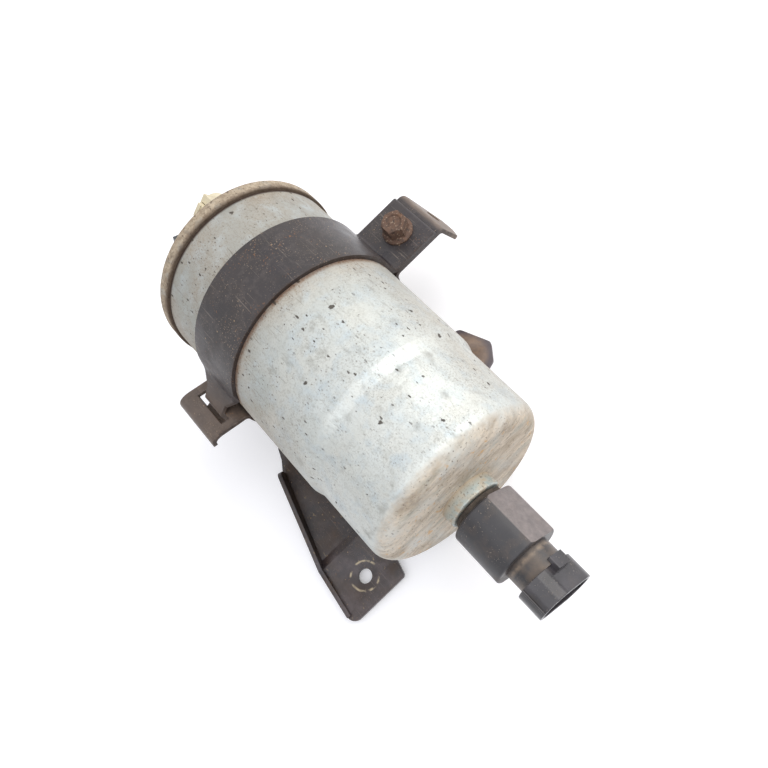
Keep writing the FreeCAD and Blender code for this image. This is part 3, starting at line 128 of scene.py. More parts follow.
def soft_lamp(name, place, aim, wide, power, colour):
    """Hangs a square lamp that shines at a point."""
    data = bpy.data.lights.new(name, "AREA")
    data.size = wide
    data.energy = power
    data.color = linear(colour)[:3]
    lamp = bpy.data.objects.new(name, data)
    lamp.location = place
    lamp.rotation_euler = (Vector(aim) - Vector(place)).to_track_quat("-Z", "Y").to_euler()
    scene.collection.objects.link(lamp)
    return lamp


middle = Vector((0.05, 0, 0.05))
soft_lamp("window_side", (0.1, 0.95, 0.85), middle, 1.3, 12, "#FFFCF7")
soft_lamp("overhead", (0.35, -0.2, 1.2), middle, 1.8, 9, "#F8FAFF")

floor_mesh = bpy.data.meshes.new("floor")
shape = bmesh.new()
bmesh.ops.create_grid(shape, x_segments=1, y_segments=1, size=2.0)
shape.to_mesh(floor_mesh)
shape.free()
floor = bpy.data.objects.new("floor", floor_mesh)
scene.collection.objects.link(floor)

paper = bpy.data.materials.new("white_backdrop_paper")
paper.use_nodes = True
tree = paper.node_tree
tree.nodes.clear()
ray = add(tree, "ShaderNodeLightPath")
sheet = add(tree, "ShaderNodeBsdfDiffuse", {"Color": linear("#EDEDF0")})
lift = add(tree, "ShaderNodeEmission", {"Color": linear("#FFFFFF")})
share = add(tree, "ShaderNodeMath", {"operation": "MAXIMUM"},
            {0: ray.outputs["Is Camera Ray"], 1: ray.outputs["Is Glossy Ray"]})
share = add(tree, "ShaderNodeMath", {"operation": "MULTIPLY", 1: 0.25}, {0: share.outputs[0]})
tree.links.new(share.outputs[0], lift.inputs["Strength"])
both = add(tree, "ShaderNodeAddShader", {}, {0: sheet.outputs[0], 1: lift.outputs[0]})
add(tree, "ShaderNodeOutputMaterial", {}, {"Surface": both.outputs[0]})
floor_mesh.materials.append(paper)
print("two lamps and a floor of", floor.dimensions.x, "m")

# %% [markdown]
# Most finishes here start the same way: a shader with the values of the clean material, and the
# place of each point on the part in millimetres. Patterns read that place, so a speck of half a
# millimetre is half a millimetre on every part.
# Two patterns come back in nearly every finish: cloudy patches, and small separate specks.

# %% Helpers for used surfaces
def start_finish(name, metallic=0.0, ior=1.5):
    """Starts a finish: its material, its shader and each point's place in millimetres."""
    material = bpy.data.materials.new(name)
    material.use_nodes = True
    tree = material.node_tree
    tree.nodes.clear()
    shader = add(tree, "ShaderNodeBsdfPrincipled", {"Metallic": metallic, "IOR": ior})
    add(tree, "ShaderNodeOutputMaterial", {}, {"Surface": shader.outputs[0]})
    object_place = add(tree, "ShaderNodeTexCoord").outputs["Object"]
    place = add(tree, "ShaderNodeVectorMath", {"operation": "SCALE", "Scale": 1 / MM},
                {0: object_place}).outputs[0]
    return material, tree, shader, place


def ramp(tree, value, start, end, low=0.0, high=1.0):
    """A number that goes from low to high as a value goes from start to end, and stays there."""
    return add(tree, "ShaderNodeMapRange",
               {"From Min": start, "From Max": end, "To Min": low, "To Max": high},
               {"Value": value}).outputs[0]


def patches(tree, place, across, low, high, detail=4.0, rough=0.55):
    """Cloudy patches so many millimetres across, from 0 at the low level to 1 at the high one."""
    cloud = add(tree, "ShaderNodeTexNoise",
                {"Scale": 1 / across, "Detail": detail, "Roughness": rough}, {"Vector": place})
    return ramp(tree, cloud.outputs[0], low, high)


def ragged(tree, place, across, by):
    """Places pushed about by up to so many millimetres, so that round patterns get ragged edges."""
    cloud = add(tree, "ShaderNodeTexNoise", {"Scale": 1 / across, "Detail": 2.0},
                {"Vector": place})
    push = add(tree, "ShaderNodeVectorMath", {"operation": "MULTIPLY_ADD", 1: (2 * by,) * 3,
                                              2: (-by,) * 3}, {0: cloud.outputs["Color"]})
    return add(tree, "ShaderNodeVectorMath", {"operation": "ADD"},
               {0: place, 1: push.outputs[0]}).outputs[0]


def specks(tree, place, apart, largest, flat="3D"):
    """Separate specks: so many millimetres apart, and up to a largest radius in millimetres."""
    cell = add(tree, "ShaderNodeTexVoronoi", {"voronoi_dimensions": flat, "Scale": 1 / apart},
               {"Vector": place})
    chance = add(tree, "ShaderNodeSeparateColor", {}, {0: cell.outputs["Color"]}).outputs[0]
    reach = ramp(tree, chance, 0.45, 1.0, 0.001, largest / apart)
    inside = add(tree, "ShaderNodeMath", {"operation": "DIVIDE"},
                 {0: cell.outputs["Distance"], 1: reach}).outputs[0]
    return ramp(tree, inside, 0.7, 1.1, 1.0, 0.0)


def times(tree, *masks):
    """What several masks share: a number or another mask each."""
    result = masks[0]
    for mask in masks[1:]:
        node = add(tree, "ShaderNodeMath", {"operation": "MULTIPLY"}, {0: result})
        if isinstance(mask, float):
            node.inputs[1].default_value = mask
        else:
            tree.links.new(mask, node.inputs[1])
        result = node.outputs[0]
    return result


def either(tree, *masks):
    """The stronger of several masks at each point."""
    result = masks[0]
    for mask in masks[1:]:
        result = add(tree, "ShaderNodeMath", {"operation": "MAXIMUM"},
                     {0: result, 1: mask}).outputs[0]
    return result


def layers(tree, ground, *coats):
    """Lays coats of (mask, hex colour) over a ground that is a hex colour or an output."""
    for mask, colour in coats:
        node = add(tree, "ShaderNodeMix", {"data_type": "RGBA", 7: linear(colour)}, {0: mask})
        if isinstance(ground, str):
            node.inputs[6].default_value = linear(ground)
        else:
            tree.links.new(ground, node.inputs[6])
        ground = node.outputs[2]
    return ground


def between(tree, mask, low, high):
    """A number that goes from low to high as a mask goes from 0 to 1."""
    return ramp(tree, mask, 0.0, 1.0, low, high)


def relief(tree, shader, *heights):
    """Raises the surface by (mask, millimetres) layers, one after the other."""
    normal = None
    for mask, height in heights:
        bump = add(tree, "ShaderNodeBump", {"Distance": height * MM, "Strength": 1.0},
                   {"Height": mask})
        if normal:
            tree.links.new(normal, bump.inputs["Normal"])
        normal = bump.outputs[0]
    tree.links.new(normal, shader.inputs["Normal"])


def finish(name, *node_names):
    """Puts a finish on parts and on the copies that stand in for them."""
    for node_name in node_names:
        for part in {frame["nodes"][node_name], softened.get(node_name)} - {None}:
            part.data.materials.clear()
            part.data.materials.append(bpy.data.materials[name])


AXIS = 47.1                                     # height of the can's middle line
CAN_RADIUS = 43.0
band_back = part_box("clamp_strap")[0].x / MM
band_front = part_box("clamp_strap")[1].x / MM
rim_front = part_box("rolled_rim")[1].x / MM
can_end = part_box("can_shell")[1].x / MM
print("the band lies from", round(band_back, 1), "to", round(band_front, 1), "mm")

# %% [markdown]
# No pressed or moulded edge is sharp. A blanked sheet has edges rounded by a few tenths of a
# millimetre, and a mould's corner is rounder still, so a thin line of light runs along each one.
# The model's own edges are sharp, so these parts are copied, their flat faces are joined, and the
# edges that turn by more than a given angle are rounded off. The copy rides on the same body.

# %% Parts with softened edges
def clean_copy(node_name):
    """Copies a part's mesh, merges its doubles and joins the triangles of each flat face."""
    shape = bmesh.new()
    shape.from_mesh(frame["nodes"][node_name].data)
    bmesh.ops.remove_doubles(shape, verts=shape.verts, dist=0.002 * MM)
    bmesh.ops.dissolve_limit(shape, angle_limit=math.radians(0.6), verts=shape.verts,
                             edges=shape.edges, use_dissolve_boundaries=False)
    bmesh.ops.recalc_face_normals(shape, faces=shape.faces)
    return shape


def turns(edge):
    """How far a surface turns at an edge, in degrees: below zero in an inner corner."""
    if len(edge.link_faces) != 2:
        return 0.0
    return math.degrees(edge.calc_face_angle_signed(0.0))


def round_off(shape, edges, width, steps):
    """Rounds edges off to a width in millimetres."""
    return bmesh.ops.bevel(shape, geom=edges, offset=width * MM, offset_type="OFFSET",
                           segments=steps, profile=0.5, affect="EDGES", clamp_overlap=True,
                           material=-1)


def keep_piece(shape, node_name, soft_below=14):
    """Makes a finished copy of a part: smooth where it turns little, and riding on its body."""
    bmesh.ops.recalc_face_normals(shape, faces=shape.faces)
    for face in shape.faces:
        face.smooth = True
    for edge in shape.edges:
        edge.smooth = abs(turns(edge)) < soft_below
    mesh = bpy.data.meshes.new(node_name + "_softened")
    shape.to_mesh(mesh)
    shape.free()
    piece = bpy.data.objects.new(node_name + "_softened", mesh)
    scene.collection.objects.link(piece)
    bodies = frame["record"]["behaviour"]["bodies"]
    body = next(name for name, parts in bodies.items() if node_name in parts)
    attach(piece, body)
    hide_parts(node_name)
    softened[node_name] = piece
    return piece


softened = {}
for node_name, width, sharper_than in (
        ("clamp_strap", 0.3, 40), ("saddle", 0.3, 40), ("flange_bolt", 0.22, 25),
        ("sensor_barrel", 0.25, 30), ("connector_shroud", 0.3, 40),
        ("inlet_connector", 0.35, 35), ("outlet_connector", 0.35, 35),
        ("inlet_release_button", 0.3, 40), ("outlet_release_button", 0.3, 40)):
    shape = clean_copy(node_name)
    corners = [edge for edge in shape.edges if turns(edge) > sharper_than]
    round_off(shape, corners, width, 2)
    piece = keep_piece(shape, node_name)
    print(piece.name, "has", len(piece.data.polygons), "faces;", len(corners), "edges rounded")

# %% [markdown]
# The base plate is one stamping. A press can't fold a lip or a step to a sharp corner: each turns
# over a radius near the sheet's own thickness, and the lip's free end is cut away in a curve.
# So its inner corners and the step get wide rounds before the thin round of every cut edge.

# %% The base plate
shape = clean_copy("base_plate")
lip_top = max(vertex.co.z for vertex in shape.verts)
lip_end = [edge for edge in shape.edges
           if min(vertex.co.z for vertex in edge.verts) > lip_top - 0.02 * MM
           and edge.calc_length() < 3 * MM]
lip_end = sorted(lip_end, key=lambda edge: edge.verts[0].co.x)[:1]
round_off(shape, lip_end, 4.5, 6)
creases = [edge for edge in shape.edges
           if turns(edge) < -60 and edge.calc_length() > 8 * MM
           and max(vertex.co.z for vertex in edge.verts) < 5 * MM]
round_off(shape, creases, 1.6, 4)
step = [edge for edge in shape.edges
        if 8 < abs(turns(edge)) < 60 and edge.calc_length() > 12 * MM
        and abs(edge.verts[0].co.x - edge.verts[1].co.x) < 0.01 * MM]
round_off(shape, step, 1.8, 4)
cut_edges = [edge for edge in shape.edges if turns(edge) > 50]
round_off(shape, cut_edges, 0.4, 2)
keep_piece(shape, "base_plate", soft_below=24)
print(len(creases), "creases,", len(step), "step edges and", len(cut_edges), "cut edges")

# %% [markdown]
# The can is drawn from zinc-plated steel. Zinc plate is a soft bluish grey metal that years of road
# dust turn matt and beige, first where nothing rubs it: beside the band, low on the sides, behind
# the band and over the closed end. The top stays nearly clean, with black specks of tar.
# Towards the closed end the zinc is painted paler as a painted highlight, and darker bluish-grey
# patches of painted reflection lie on the upper left side.
# The pattern is painted on a flat chart of the can, where one way runs along it and the other runs
# round it, because scratches follow those two ways. The chart's seam lies in the saddle.

# %% Zinc-plated can
material, tree, shader, place = start_finish("zinc_plated_steel_can", metallic=1.0)
split = add(tree, "ShaderNodeSeparateXYZ", {}, {0: place})
along = split.outputs["X"]
over_axis = add(tree, "ShaderNodeMath", {"operation": "SUBTRACT", 1: AXIS},
                {0: split.outputs["Z"]}).outputs[0]
turn = add(tree, "ShaderNodeMath", {"operation": "ARCTAN2"},
           {0: split.outputs["Y"], 1: over_axis}).outputs[0]
round_the_can = add(tree, "ShaderNodeMath", {"operation": "MULTIPLY", 1: CAN_RADIUS},
                    {0: turn}).outputs[0]
across = add(tree, "ShaderNodeCombineXYZ", {},
             {"X": split.outputs["Y"], "Y": over_axis}).outputs[0]
out_from_axis = add(tree, "ShaderNodeVectorMath", {"operation": "LENGTH"}, {0: across}).outputs[1]
chart = add(tree, "ShaderNodeCombineXYZ", {},
            {"X": along, "Y": round_the_can, "Z": out_from_axis}).outputs[0]

# where the dust lies: 1 is thick
left_side = ramp(tree, round_the_can, -18.0, -60.0)
bolted_side = ramp(tree, round_the_can, 22.0, 60.0)
ahead_of_band = ramp(tree, along, band_front - 3, band_front - 1)
beside_band = ramp(tree, along, band_front, band_front + 17, 1.0, 0.0)
toward_end = ramp(tree, along, 30.0, 75.0, 1.0, 0.15)
# painted highlight: this ramp paints the zinc paler towards the closed end; it also thins the tar,
# strokes and scuffs there
painted_highlight_clean_front = ramp(tree, along, 20.0, 62.0)
behind_band = ramp(tree, along, band_back + 3, band_back)
near_rim = ramp(tree, along, rim_front + 2, rim_front + 14, 1.0, 0.0)
end_face = ramp(tree, along, can_end - 6.0, can_end - 2.0)
on_wall = ramp(tree, along, can_end - 7.0, can_end - 4.0, 1.0, 0.0)
clouds = patches(tree, chart, 15, 0.28, 0.68)
grain = patches(tree, chart, 1.1, 0.3, 0.7, rough=0.7)
stipple = patches(tree, chart, 0.75, 0.5, 0.66, detail=2.0, rough=0.8)
dust = either(tree, times(tree, left_side, toward_end, between(tree, clouds, 0.6, 1.2)),
              times(tree, beside_band, beside_band, ahead_of_band,
                    between(tree, clouds, 0.45, 1.3)),
              times(tree, behind_band, between(tree, clouds, 0.1, 0.55)),
              times(tree, near_rim, between(tree, clouds, 0.15, 1.0)),
              times(tree, bolted_side, between(tree, clouds, 0.2, 0.9)))
dust = times(tree, dust, between(tree, grain, 0.55, 1.0))
face_grain = patches(tree, place, 1.2, 0.3, 0.7, rough=0.7)
crust = times(tree, end_face, patches(tree, place, 13, 0.25, 0.55),
              between(tree, face_grain, 0.6, 1.0))
rust_line = times(tree, ramp(tree, along, band_front + 0.7, band_front + 2.2, 1.0, 0.0),
                  ahead_of_band, patches(tree, chart, 5, 0.25, 0.5),
                  between(tree, grain, 0.5, 1.0))
# painted shade and grime: a dark brown line on the can beside the rim stands for the crevice's shadow
# as well as grime
groove_shade_and_grime = ramp(tree, along, rim_front + 0.7, rim_front + 1.6, 1.0, 0.0)
smudges = patches(tree, chart, 8, 0.6, 0.78)
strokes = add(tree, "ShaderNodeMapping", {"Rotation": (0, 0, math.radians(28)),
                                          "Scale": (0.3, 1.0, 1.0)}, {"Vector": chart}).outputs[0]
strokes = times(tree, patches(tree, strokes, 2.4, 0.56, 0.7), patches(tree, chart, 13, 0.4, 0.6),
                on_wall)
slanted = add(tree, "ShaderNodeMapping", {"Rotation": (0, 0, math.radians(35)),
                                          "Scale": (0.5, 1.0, 1.0)}, {"Vector": chart}).outputs[0]
torn = ragged(tree, slanted, 0.8, 0.45)
tar = times(tree, either(tree, times(tree, specks(tree, torn, 3.4, 0.5, "2D"),
                                     patches(tree, chart, 17, 0.45, 0.56)),
                         specks(tree, ragged(tree, chart, 2.0, 1.4), 16.0, 0.9, "2D")), on_wall)
fine_tar = times(tree, specks(tree, torn, 1.2, 0.26, "2D"),
                 patches(tree, chart, 14, 0.4, 0.56), between(tree, painted_highlight_clean_front, 1.0, 0.6), on_wall)
swept = add(tree, "ShaderNodeMapping", {"Rotation": (math.radians(35), 0, 0),
                                        "Scale": (1.0, 0.4, 1.0)}, {"Vector": place}).outputs[0]
ochre = times(tree, patches(tree, place, 4.2, 0.62, 0.7), end_face)


def scratches(tree, chart, tilt, long, fine, rare):
    """Thin scratches on a chart: their tilt from its X, their length and width in millimetres."""
    drawn = add(tree, "ShaderNodeMapping",
                {"Rotation": (0, 0, math.radians(tilt)), "Scale": (1 / long, 1 / fine, 0.02)},
                {"Vector": chart}).outputs[0]
    line = add(tree, "ShaderNodeTexNoise", {"Scale": 1.0, "Detail": 1.0},
               {"Vector": drawn}).outputs[0]
    return ramp(tree, line, rare, rare + 0.04)


scuffs = times(tree,
               either(tree, scratches(tree, ragged(tree, chart, 14, 2.5), 24, 20, 0.5, 0.7),
                      scratches(tree, ragged(tree, chart, 11, 3.0), 108, 15, 0.45, 0.71)),
               patches(tree, chart, 20, 0.42, 0.55), on_wall)
# painted reflection and shade: darker bluish-grey patches on the can's upper left side, weaker
# towards the closed end
shaded = times(tree, ramp(tree, round_the_can, -6.0, -34.0), toward_end,
               patches(tree, chart, 19, 0.4, 0.62))
# the first coat, #CCD1CF, is that painted highlight towards the closed end
zinc = layers(tree, "#B4B8B5", (times(tree, painted_highlight_clean_front, 0.95), "#CCD1CF"),
              (times(tree, patches(tree, chart, 22, 0.35, 0.65), 0.6), "#C6C5BD"),
              (times(tree, behind_band, 0.7), "#969792"),
              (times(tree, shaded, 0.6), "#9DA9A8"),
              (times(tree, patches(tree, chart, 7, 0.48, 0.68), 0.7), "#B6C1C6"),
              (times(tree, patches(tree, chart, 3.2, 0.5, 0.75, rough=0.7), 0.5), "#A9ABA5"),
              (times(tree, stipple, on_wall, between(tree, clouds, 0.15, 0.5)), "#86827A"),
              (times(tree, strokes, between(tree, painted_highlight_clean_front, 0.65, 0.2)), "#7F7E78"),
              (times(tree, smudges, 0.5), "#7F7D76"),
              (times(tree, scuffs, between(tree, painted_highlight_clean_front, 0.8, 0.25)), "#75746E"),
              (times(tree, dust, 0.8), "#A3937F"),
              (times(tree, dust, stipple, 0.6), "#7C6B5B"),
              (times(tree, crust, 0.85), "#D6C4AE"),
              (times(tree, crust, patches(tree, swept, 8.0, 0.44, 0.6, rough=0.7), 0.75),
               "#83725D"),
              (times(tree, crust, patches(tree, swept, 2.2, 0.5, 0.66, rough=0.7), 0.6),
               "#6F5F51"),
              (times(tree, crust, patches(tree, swept, 6.0, 0.55, 0.7), 0.6), "#98A09A"),
              (times(tree, crust, face_grain, 0.35), "#DDD2BD"),
              (times(tree, end_face, patches(tree, place, 1.0, 0.62, 0.7, detail=2.0), 0.7),
               "#5E5145"),
              (times(tree, ochre, 0.7), "#CB9F63"),
              (times(tree, rust_line, 0.9), "#6E4A30"),
              (groove_shade_and_grime, "#3A2B22"),
              (times(tree, fine_tar, 0.85), "#655A4F"),
              (times(tree, tar, 0.9), "#3F372F"))
tree.links.new(zinc, shader.inputs["Base Color"])
matt = either(tree, dust, crust, times(tree, smudges, 0.6), groove_shade_and_grime, tar, rust_line)
tree.links.new(between(tree, matt, 0.6, 0.05), shader.inputs["Metallic"])
tree.links.new(between(tree, matt, 0.48, 0.84), shader.inputs["Roughness"])
relief(tree, shader, (patches(tree, chart, 34, 0.2, 0.8, detail=1.0), 1.4),
       (patches(tree, chart, 6, 0.2, 0.8, detail=2.0), 0.14), (grain, 0.04), (tar, 0.15),
       (strokes, -0.05), (scuffs, -0.02))
finish("zinc_plated_steel_can", "can_shell")

# %% [markdown]
# The rolled rim is the same steel, folded over the cover. Dust packs into the fold and stays as a
# mottled beige crust, so the metal shows only in small spots.

# %% Crusted rim
material, tree, shader, place = start_finish("zinc_plated_steel_rim")
mottle = patches(tree, place, 2.2, 0.38, 0.62, rough=0.75)
bare = patches(tree, place, 6, 0.52, 0.66)
pits = either(tree, patches(tree, place, 0.9, 0.6, 0.7, detail=2.0),
              patches(tree, place, 3.2, 0.62, 0.72))
# painted shade and grime: the rim's inner side next to the can is dark brown, for the crevice's
# shadow as well as grime
inner_side_shade_and_grime = ramp(tree, add(tree, "ShaderNodeSeparateXYZ", {}, {0: place}).outputs["X"],
                  rim_front - 2.0, rim_front)
colour = layers(tree, "#948471", (mottle, "#B9AA95"), (times(tree, bare, 0.6), "#A3A097"),
                (times(tree, patches(tree, place, 5, 0.5, 0.7), 0.7), "#7D6B58"),
                (times(tree, pits, 0.75), "#55473A"),
                (times(tree, inner_side_shade_and_grime, 0.85), "#4B3A2D"))
tree.links.new(colour, shader.inputs["Base Color"])
tree.links.new(between(tree, bare, 0.85, 0.55), shader.inputs["Roughness"])
tree.links.new(times(tree, bare, 0.5), shader.inputs["Metallic"])
relief(tree, shader, (patches(tree, place, 9, 0.3, 0.7), 0.25), (mottle, 0.14), (pits, -0.1))
finish("zinc_plated_steel_rim", "rolled_rim")

# %% [markdown]
# The band, the saddle and the base plate are pressed steel with a thin black dip coat. The coat is
# a plastic-like film, so it mirrors weakly face on and strongly at a shallow angle, where it turns
# to a lilac grey. Over it lie a brown film, pale grains of sand and a few orange ones.

# %% Black dip-coated steel
def dip_coat(name, colour, film, film_share, grit):
    """Black dip coat under a brown film and grit, with its tree, place and colour to add to."""
    material, tree, shader, place = start_finish(name)
    cloud = patches(tree, place, 17, 0.32, 0.68)
    grain = patches(tree, place, 0.9, 0.3, 0.7, rough=0.7)
    brown = times(tree, cloud, between(tree, grain, 0.6, 1.0), film_share)
    smears = times(tree, patches(tree, place, 4.5, 0.5, 0.72, rough=0.7), 0.55)
    gathered = patches(tree, place, 13, 0.45, 0.62)
    sand = times(tree, patches(tree, place, 0.62, 0.64, 0.7, detail=1.5),
                 between(tree, gathered, 0.06, 0.8), grit)
    rust = times(tree, patches(tree, place, 0.8, 0.6, 0.68, detail=2.0),
                 patches(tree, place, 8, 0.55, 0.68), grit)
    flecks = times(tree, specks(tree, ragged(tree, place, 0.8, 0.3), 3.0, 0.42), grit)
    hairlines = add(tree, "ShaderNodeMapping",
                    {"Rotation": (0.4, 0.3, 0.7), "Scale": (1 / 18, 1 / 0.5, 1 / 0.5)},
                    {"Vector": place}).outputs[0]
    hairlines = times(tree, patches(tree, hairlines, 1.0, 0.7, 0.74, detail=1.0), 0.5, grit)
    ground = layers(tree, colour,
                    (times(tree, patches(tree, place, 30, 0.3, 0.7), 0.45), "#48434A"),
                    (brown, film), (times(tree, smears, 0.7), "#5D5552"),
                    (times(tree, hairlines, 0.7), "#8F8479"),
                    (times(tree, rust, 0.75), "#8F6544"), (times(tree, sand, 0.8), "#B39B80"),
                    (times(tree, flecks, 0.6), "#A98F6F"))
    matt = either(tree, brown, sand, rust, smears)
    tree.links.new(between(tree, matt, 0.26, 0.7), shader.inputs["Roughness"])
    relief(tree, shader, (patches(tree, place, 14, 0.2, 0.8, detail=2.0), 0.25), (grain, 0.02),
           (either(tree, sand, flecks), 0.12))
    return tree, shader, place, ground


tree, shader, place, ground = dip_coat("black_dip_coated_band", "#252223", "#3C3532", 0.8, 1.0)
split = add(tree, "ShaderNodeSeparateXYZ", {}, {0: place})
band_edge = ramp(tree, split.outputs["X"], band_front - 1.6, band_front)
under_axis = ramp(tree, split.outputs["Z"], 62.0, 50.0)
slotted_side = ramp(tree, split.outputs["Y"], -40.0, -46.0)
side_tab = ramp(tree, split.outputs["Y"], 70.5, 73.0)
powder = times(tree, either(tree, times(tree, slotted_side, under_axis, 0.7),
                            times(tree, side_tab, 0.9)),
               between(tree, patches(tree, place, 4, 0.3, 0.7, rough=0.7), 0.5, 1.0))
colour = layers(tree, ground, (powder, "#7F6D5E"),
                (times(tree, band_edge, patches(tree, place, 3, 0.35, 0.6), 0.85), "#33261F"))
tree.links.new(colour, shader.inputs["Base Color"])
finish("black_dip_coated_band", "clamp_strap", "saddle")

tree, shader, place, ground = dip_coat("black_dip_coated_base", "#211D1E", "#43362F", 0.7, 0.8)
split = add(tree, "ShaderNodeSeparateXYZ", {}, {0: place})
rear_tab = ramp(tree, split.outputs["Y"], 20.0, 34.0)
tab_hole = (43, 46, 1)
from_tab = add(tree, "ShaderNodeVectorMath", {"operation": "DISTANCE", 1: tab_hole},
               {0: place}).outputs[1]
tab_middle = ramp(tree, from_tab, 12.6, 9.6)
foot_hole = (89.0, -59.5)
from_hole = add(tree, "ShaderNodeVectorMath", {"operation": "SUBTRACT", 1: (*foot_hole, 0)},
                {0: add(tree, "ShaderNodeCombineXYZ", {}, {"X": split.outputs["X"],
                                                           "Y": split.outputs["Y"]}).outputs[0]})
from_hole = add(tree, "ShaderNodeVectorMath", {"operation": "LENGTH"},
                {0: from_hole.outputs[0]}).outputs[1]
washer_inner = ramp(tree, from_hole, 6.3, 6.8)
washer_outer = ramp(tree, from_hole, 7.6, 7.2)
washer_ring = times(tree, washer_inner, washer_outer, patches(tree, place, 5, 0.45, 0.56))
low_leg = ramp(tree, split.outputs["X"], 64.0, 72.0)
scuffed = times(tree, low_leg, patches(tree, place, 9, 0.42, 0.62))
fibres = add(tree, "ShaderNodeMapping", {"Rotation": (0, 0, 0.5), "Scale": (0.5, 1.0, 1.0)},
             {"Vector": place}).outputs[0]
fibres = times(tree, patches(tree, fibres, 1.5, 0.62, 0.7, detail=3.0, rough=0.7),
               patches(tree, place, 11, 0.44, 0.58))
colour = layers(tree, ground,
                (times(tree, patches(tree, place, 10, 0.45, 0.65), 0.5), "#4A382B"),
                (times(tree, scuffed, 0.4), "#625759"),
                (times(tree, fibres, 0.85), "#9A8463"),
                (times(tree, rear_tab, 0.85), "#4D4348"),
                (times(tree, rear_tab, tab_middle, 0.9), "#7A6759"),
                (times(tree, rear_tab, tab_middle, patches(tree, place, 3, 0.45, 0.65), 0.6),
                 "#8A725F"),
                (times(tree, washer_ring, 0.9), "#C2B294"))
tree.links.new(colour, shader.inputs["Base Color"])
finish("black_dip_coated_base", "base_plate")

# %% [markdown]
# The flange bolt and its nut have lost their plating. Rust is rough and has no mirror of its own,
# so it is a matt brown crust with orange and nearly black patches, and a clearly raised grain.

# %% Rusted fasteners
material, tree, shader, place = start_finish("rusted_steel_fastener")
scale = patches(tree, place, 1.6, 0.3, 0.7, rough=0.75)
colour = layers(tree, "#4E3B31", (scale, "#6F5444"),
                (times(tree, patches(tree, place, 3.5, 0.55, 0.7), 0.7), "#7F5D45"),
                (times(tree, patches(tree, place, 2.2, 0.52, 0.66), 0.85), "#2F2520"),
                (times(tree, patches(tree, place, 0.8, 0.62, 0.7, detail=1.0), 0.7), "#A3907C"))
tree.links.new(colour, shader.inputs["Base Color"])
tree.links.new(between(tree, scale, 0.6, 0.85), shader.inputs["Roughness"])
relief(tree, shader, (scale, 0.12), (patches(tree, place, 0.5, 0.3, 0.7), 0.04))
finish("rusted_steel_fastener", "flange_bolt", "weld_nut")

# %% [markdown]
# The sensor is moulded from glass-filled nylon, a dark grey plastic with a fine satin grain. Its two
# flats are where a spanner goes. The upper flat faces the lamps, so it is painted paler in mottled
# patches as a painted highlight, and the neck behind the connector holds brown grime. The
# connector's shroud is handled more and is glossier.

# %% Moulded sensor plastics
def moulded(name, colour, pale, gloss, grime, grime_share):
    """Moulded plastic of one colour with paler clouds, grime and a fine grain."""
    material, tree, shader, place = start_finish(name)
    clouds = patches(tree, place, 8, 0.3, 0.75)
    grain = patches(tree, place, 0.6, 0.3, 0.7)
    dirt = times(tree, patches(tree, place, 6, 0.48, 0.75), between(tree, grain, 0.5, 1.0),
                 grime_share)
    motes = times(tree, patches(tree, place, 0.6, 0.66, 0.72, detail=1.5),
                  patches(tree, place, 9, 0.45, 0.62), grime_share)
    ground = layers(tree, colour, (times(tree, clouds, 0.5), pale), (dirt, grime),
                    (motes, "#A89A8A"))
    tree.links.new(between(tree, either(tree, dirt, motes), gloss, 0.8),
                   shader.inputs["Roughness"])
    relief(tree, shader, (grain, 0.012), (motes, 0.06))
    return tree, shader, place, ground


tree, shader, place, ground = moulded("nylon_sensor_barrel", "#2F2E31", "#3F3D40", 0.36,
                                      "#5E5148", 0.65)
split = add(tree, "ShaderNodeSeparateXYZ", {}, {0: place})
sensor_turn = math.radians(50.4)                # how far the sensor's flats are turned
towards_flat = Vector((0, math.sin(sensor_turn), math.cos(sensor_turn)))
height = add(tree, "ShaderNodeVectorMath", {"operation": "DOT_PRODUCT", 1: towards_flat},
             {0: add(tree, "ShaderNodeVectorMath", {"operation": "SUBTRACT", 1: (0, 0, AXIS)},
                     {0: place}).outputs[0]}).outputs[1]
flat_height = 12.6                              # from the can's middle line to each flat
# painted highlight: the upper flat, which faces the lamps, is painted paler in mottled patches
painted_lit_flat = ramp(tree, height, flat_height - 0.3, flat_height - 0.05)
barrel_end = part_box("connector_shroud")[0].x / MM
neck = ramp(tree, split.outputs["X"], barrel_end - 7, barrel_end - 5)
ledge = times(tree, neck, ramp(tree, split.outputs["X"], barrel_end - 3.5, barrel_end - 5))
lit_flat_mottle = between(tree, patches(tree, place, 3.5, 0.3, 0.7, rough=0.7), 0.5, 0.95)
colour = layers(tree, ground, (times(tree, painted_lit_flat, lit_flat_mottle), "#867D7B"),
                (times(tree, neck, patches(tree, place, 7, 0.35, 0.65), 0.8), "#6B5D50"),
                (times(tree, ledge, patches(tree, place, 2.5, 0.35, 0.6), 0.75), "#8C7B69"))
tree.links.new(colour, shader.inputs["Base Color"])
finish("nylon_sensor_barrel", "sensor_barrel")

# painted reflection: the connector's pale clouds, #58545A, are much lighter than the barrel's and
# stand for a lilac-grey reflection
tree, shader, place, ground = moulded("nylon_connector", "#2F2E30", "#58545A", 0.15, "#5F5247",
                                      0.35)
tree.links.new(ground, shader.inputs["Base Color"])
finish("nylon_connector", "connector_shroud")

# %% [markdown]
# The quick couplings on the ports are nylon too: one cream, yellowed and dusty, and one dark with a
# light blue release button. The colours tell the fitter which hose goes where.

